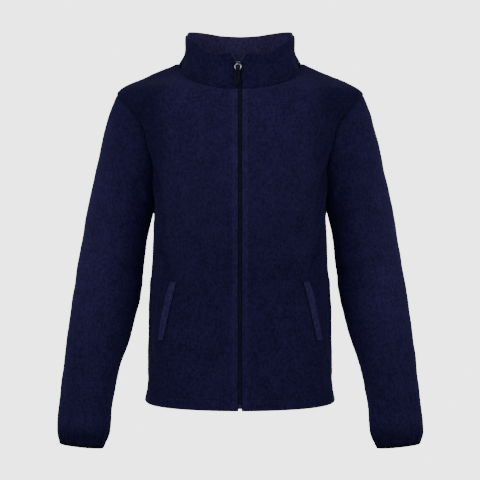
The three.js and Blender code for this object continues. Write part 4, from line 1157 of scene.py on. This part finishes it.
for columns, flip in ((slice(0, around.shape[1] // 2), False), (slice(around.shape[1] // 2, None), True)):
    field = from_end[:, columns]
    face, out = collar_outer[:, columns], piece.normals[:, columns]
    if flip:
        field, face, out = field[:, ::-1], face[:, ::-1], out[:, ::-1]
    thread_lines.append((line_where(face, field, 8), line_where(out, field, 8)))

# Pocket welts and bags

WELT = {"angle0": 43.5, "z0": -426, "angle1": 54, "z1": -537, "width": 16, "thick": 2, "lift": 0.7}
BAG = {"rows": (2, 9), "columns": (4, 11), "gap": 0.4, "thick": 1.2}
for name, side in SIDES:
    along = stations(1, 0.012, (0.001, 0.004, 0.009), (0.001, 0.004, 0.009))
    across = stations(1, 0.08, (0.008, 0.03, 0.07, 0.12), (0.008, 0.03, 0.07, 0.12)) - 0.5
    down, over = np.meshgrid(along, across, indexing="ij")
    z = mix(WELT["z0"], WELT["z1"], down)
    angle = np.radians(mix(WELT["angle0"], WELT["angle1"], down)) + over * WELT["width"] / ROUND_BODY
    angle = angle * side
    piece = Cloth(body(angle, z), body_normals(angle, z))
    wrinkles = fold_height(BODY_WRINKLES, np.abs(angle), ROUND_BODY, z, side, tapered=True)
    piece.height += wrinkles + unevenness(piece.points) + WELT["lift"] + WELT["thick"] + 0.2
    piece.wall[:] = WELT["thick"]
    from_side = (0.5 - np.abs(over)) * WELT["width"]
    from_tip = np.minimum(down, 1 - down) * (WELT["z0"] - WELT["z1"])
    piece.height += 0.5 * smooth(from_side, 0, 4) - 0.5 * bell((from_side - 2.2) / 0.8)
    piece.height += puckers(from_side - 2, z, 5, 0.15)
    piece.edge(np.minimum(from_side, from_tip), WELT["thick"] / 2)
    outer, inner = piece.faces()
    welt = dress(walled(f"pocket_welt_{name}_cloth", outer, inner), LIT_WELT_FLEECE, [f"pocket_welt_{name}"])
    for place in (-0.5 + 2.2 / WELT["width"], 0.5 - 2.2 / WELT["width"]):
        thread_lines.append((line_where(outer, over, place)[5:-5], line_where(piece.normals, over, place)[5:-5]))

    row, column = stations(BAG["rows"][1] - BAG["rows"][0], 0.2), stations(BAG["columns"][1] - BAG["columns"][0], 0.2)
    angle, z = quarter(False, row + BAG["rows"][0], column + BAG["columns"][0])
    angle = angle * side
    piece = Cloth(body(angle, z), body_normals(angle, z))
    wrinkles = fold_height(BODY_WRINKLES, np.abs(angle), ROUND_BODY, z, side, tapered=True)
    piece.height += wrinkles + unevenness(piece.points) - CLOTH - BAG["gap"]
    piece.wall[:] = BAG["thick"]
    outer, inner = piece.faces()
    bag = dress(walled(f"pocket_bag_{name}_cloth", outer, inner), POCKET_KNIT, [f"pocket_bag_{name}"])

# Zip

CHAIN_HALF, CHAIN_DEEP = 2.7, 2.2
BOX_BOTTOM, BOX_TOP = -661.8, -653
SLIDER_Z, SLIDER_BOTTOM, SLIDER_TOP = -16, 7, 6
TOOTH_PITCH = 1.55
TAPE_INNER, TAPE_OUTER, TAPE_THICK, TAPE_END = 0.18, 15, 1, -80
TAPE_BEHIND_HEM = (-652, -636)
CORD_X, CORD_DEEP, CORD_SIZE = 0.5, 2.9, (0.56, 0.85)


def rise_at(z):
    low = neck_z(first)
    return (z - low) / (COLLAR_EDGE["top"][0] - low)


def zip_line(start):
    """The middle of the outer face from a height at the zip's box up to the slider."""
    z = np.linspace(start, float(neck_z(first)), 400)
    low = points_of(0, body(angle_at_x(FRONT_EDGE, z), z)[..., 1], z)
    rises = np.linspace(0.01, float(rise_at(SLIDER_Z - SLIDER_BOTTOM - 0.3)), 60)
    left, right = collar(np.full(60, -first), rises), collar(np.full(60, first), rises)
    x = SLIDER_X * smooth(rises, 0.1, 0.6)
    return np.concatenate([low, points_of(x, (left[:, 1] + right[:, 1]) / 2, left[:, 2])])


def tooth():
    """A tooth: a ball stretched to a rounded block, |p|^(1/2) times the sign on each axis."""
    points, quads = lozenge(6, 5)
    return np.sign(points) * np.abs(points) ** 0.55, quads


TOOTH = tooth()


def teeth(line, sideways, reach, shift=0):
    """Teeth at every second place along a line: each stands across it to one side."""
    spread, ahead, _, _ = evenly(line, TOOTH_PITCH)
    spread, ahead = spread[shift::2], ahead[shift::2]
    across = unit(np.cross((0.0, -1, 0), ahead)) * sideways
    front = np.cross(ahead, across)
    frames = np.stack([across * reach / 2, front * 1.15, ahead * 0.62], axis=1)
    return spread + across * reach * 0.42, frames


middle = zip_line(BOX_TOP + 1) + (0, 1.0, 0)
parts = [teeth(middle, way, CHAIN_HALF * 1.05, shift) for way, shift in ((1, 0), (-1, 1))]
chain = copies("zip_teeth", *TOOTH, *(np.concatenate([part[i] for part in parts]) for i in (0, 1)))
dress(chain, TEETH, ["zip_chain"])

for name, side in SIDES:
    rises = np.linspace(float(rise_at(SLIDER_Z + SLIDER_TOP)), 0.95, 40)
    edge = collar(np.full(40, first * side), rises)
    inwards = collar_normals(np.full(40, first * side), rises) * -COLLAR_WALL / 2
    line = edge + inwards + points_of(-side * 0.3, 0, 0)
    centres, frames = teeth(line, 1, CHAIN_HALF * 0.9)
    flip = np.sign((frames[:, 0] * (-side, 0, 0)).sum(1))[:, None]
    centres = evenly(line, TOOTH_PITCH)[0][::2] + frames[:, 0] * flip
    dress(copies(f"zip_teeth_{name}", *TOOTH, centres, frames), TEETH, [f"zip_top_{name}"])

    z = stations(TAPE_END - BOX_BOTTOM, 4) + BOX_BOTTOM
    z, share = np.meshgrid(z, np.linspace(0, 1, 9), indexing="ij")
    x = mix(TAPE_INNER, TAPE_OUTER, share)
    angle = angle_at_x(np.maximum(x, FRONT_EDGE), z) * side
    base = body(angle, z)
    base[..., 0] = x * side
    piece = Cloth(base, body_normals(angle, z))
    piece.height += 0.6 * smooth(x, 0, 3) - 0.9 - CLOTH * (2 - smooth(z, *TAPE_BEHIND_HEM))
    piece.wall[:] = TAPE_THICK
    outer, inner = piece.faces()
    tape = dress(walled(f"zip_tape_{name}_cloth", outer, inner), TAPE_WEAVE, [f"zip_tape_{name}"])


def rounded_block(half, power, around=40, up=20):
    """A closed block: the ball's points, each axis raised to a power below 1, times half sizes."""
    turn = np.arange(around) * TURN / around
    tilt = np.linspace(-np.pi / 2 + 0.02, np.pi / 2 - 0.02, up)
    turn, tilt = np.meshgrid(turn, tilt)
    ball = points_of(np.cos(tilt) * np.cos(turn), np.cos(tilt) * np.sin(turn), np.sin(tilt))
    return np.sign(ball) * np.abs(ball) ** power * half


def closed_grid(name, points):
    """A ring grid closed at both ends by a fan to the middle of each end."""
    rows, columns = points.shape[:2]
    _, quads = grid_quads(rows, columns, True)
    flat = np.concatenate([points.reshape(-1, 3), points[:1].mean(1), points[-1:].mean(1)])
    low, high = rows * columns, rows * columns + 1
    near = np.arange(0, columns, 2)
    last = (rows - 1) * columns
    ends = [
        np.stack([near, np.full_like(near, low), (near + 2) % columns, near + 1], axis=1),
        np.stack([last + near, last + near + 1, last + (near + 2) % columns, np.full_like(near, high)], axis=1),
    ]
    return make_mesh(name, flat, np.concatenate([quads, *ends]))


block = rounded_block((CHAIN_HALF, 2.1, (BOX_TOP - BOX_BOTTOM) / 2), 0.3)
block = block + (0, body(angle_at_x(FRONT_EDGE, -657.0), np.array(-657.0))[1] + 1.1, (BOX_TOP + BOX_BOTTOM) / 2)
dress(closed_grid("zip_box_block", block), TEETH, ["zip_box"])

# Slider, ring and grip

HINGE = np.array((SLIDER_X, -94.6737, -15.0))
SLIDER_FACE = HINGE[1] + 0.75 + 0.4
RING_RADIUS, WIRE = 5.7, 0.75
TILT = np.radians(5)


def tilted(points):
    """Turns points about the Y axis by the pull's tilt and moves them to the hinge."""
    x, z = points[..., 0], points[..., 2]
    turned = points_of(
        x * np.cos(TILT) + z * np.sin(TILT), points[..., 1], -x * np.sin(TILT) + z * np.cos(TILT)
    )
    return turned + HINGE


def slider_body():
    """The slider: a rounded block, wider at its top, with a waist between its two plates."""
    block = rounded_block((4.5, 2.7, 6.5), 0.28, 48, 30)
    z = block[..., 2]
    taper = 1 - 0.14 * smooth(-z, -6, 6)
    waist = 1 - 0.12 * bell(block[..., 1] / 0.8)
    return points_of(block[..., 0] * taper * waist, block[..., 1] + SLIDER_FACE + 2.7, z - 16.5) + (SLIDER_X, 0, 0)


def tube(path, half_wide, half_thick, sideways, power=0.6, around=16):
    """A flat wire: a rounded section carried along a path, with one axis held sideways."""
    ahead = unit(np.gradient(path, axis=0))
    over = np.cross(ahead, sideways)
    turn = np.arange(around) * TURN / around
    wide = np.sign(np.cos(turn)) * np.abs(np.cos(turn)) ** power * half_wide
    thick = np.sign(np.sin(turn)) * np.abs(np.sin(turn)) ** power * half_thick
    return path[:, None] + wide[None, :, None] * np.array(sideways, float) + thick[None, :, None] * over[:, None]


def bridge_path():
    """The bridge over the ring: half a superellipse standing out of the slider's face."""
    t = np.linspace(0, np.pi, 33)
    up = np.sign(np.cos(t)) * np.abs(np.cos(t)) ** 0.55 * 3.5
    out = np.sin(t) ** 0.55 * 3.5 - 0.5
    return points_of(SLIDER_X, SLIDER_FACE - out, HINGE[2] + up)


# The cords that the teeth are clamped round, one at each tape's edge
for name, side in SIDES:
    path = zip_line(BOX_BOTTOM + 3)[::3] + (side * CORD_X, CORD_DEEP, 0)
    dress(closed_grid(f"zip_cord_{name}", tube(path, *CORD_SIZE, (1, 0, 0))), CORD_FINISH)

dress(closed_grid("slider_body", slider_body()), SLIDER_PAINT, ["zip_slider"])
dress(closed_grid("slider_bridge", tube(bridge_path(), 1.2, 0.5, (1, 0, 0))), SLIDER_PAINT)

turn, section = np.meshgrid(np.arange(96) * TURN / 96, np.arange(20) * TURN / 20, indexing="ij")
reach = RING_RADIUS + WIRE * np.cos(section)
ring = points_of(reach * np.sin(turn), WIRE * np.sin(section), reach * np.cos(turn) - RING_RADIUS)
_, quads = grid_quads(96, 20, True)
closing = grid_quads(2, 20, True)[1]
closing = np.where(closing < 20, closing + 95 * 20, closing - 20)
dress(
    make_mesh("pull_ring_wire", tilted(ring).reshape(-1, 3), np.concatenate([quads, closing])),
    METAL,
    ["pull_ring"],
    "pull",
)

GRIP_TOP = -2 * RING_RADIUS + 2.1
GRIP_LENGTH, GRIP_WIDTH, GRIP_THICK = 31, 11.5, 3.4


def grip():
    """The grip: a rounded bar, a little narrower below, hollowed along its face with cross ribs."""
    block = rounded_block((GRIP_WIDTH / 2, GRIP_THICK / 2, GRIP_LENGTH / 2), 0.34, 72, 90)
    x, y, z = block[..., 0], block[..., 1], block[..., 2]
    taper = 1 - 0.065 * (GRIP_LENGTH / 2 - z) / GRIP_LENGTH
    hollow = smooth(GRIP_WIDTH / 2 - 1.6 - np.abs(x), 0, 1) * smooth(GRIP_LENGTH / 2 - 2.5 - np.abs(z + 2.5), 0, 2)
    ribs = 0.25 * np.cos(z * 2.4)
    y = y * (1 - hollow * (0.28 - ribs * 0.5))
    return tilted(points_of(x * taper, y, z + GRIP_TOP - GRIP_LENGTH / 2))


dress(closed_grid("pull_grip", grip()), GRIP, ["pull_tab"], "pull")

# Topstitching

sewing = stitches("topstitching", thread_lines)
dress(sewing, THREAD_FINISH)

# Floor and studio


FLOOR_RADIUS, FLOOR_Z = 2400, -1300


def round_floor():
    """A flat round floor: rings of points about the origin."""
    turn, reach = np.meshgrid(np.arange(96) * TURN / 96, np.linspace(1, FLOOR_RADIUS, 12))
    return points_of(reach * np.cos(turn), reach * np.sin(turn), FLOOR_Z)


points = round_floor()
_, quads = grid_quads(*points.shape[:2], True)
floor = make_mesh("floor", points.reshape(-1, 3), quads)
floor.data.materials.append(FLOOR)

WORLD_LIGHT, WORLD_WHITE = 0.36, 3.6
world = bpy.data.worlds.new("studio")
world.use_nodes = True
white = world.node_tree.nodes["Background"]
white.inputs["Color"].default_value = (1, 1, 1, 1)
seen = world.node_tree.nodes.new("ShaderNodeLightPath").outputs["Is Camera Ray"]
strength = world.node_tree.nodes.new("ShaderNodeMix")
strength.inputs["A"].default_value, strength.inputs["B"].default_value = WORLD_LIGHT, WORLD_WHITE
world.node_tree.links.new(seen, strength.inputs["Factor"])
world.node_tree.links.new(strength.outputs["Result"], white.inputs["Strength"])
bpy.context.scene.world = world
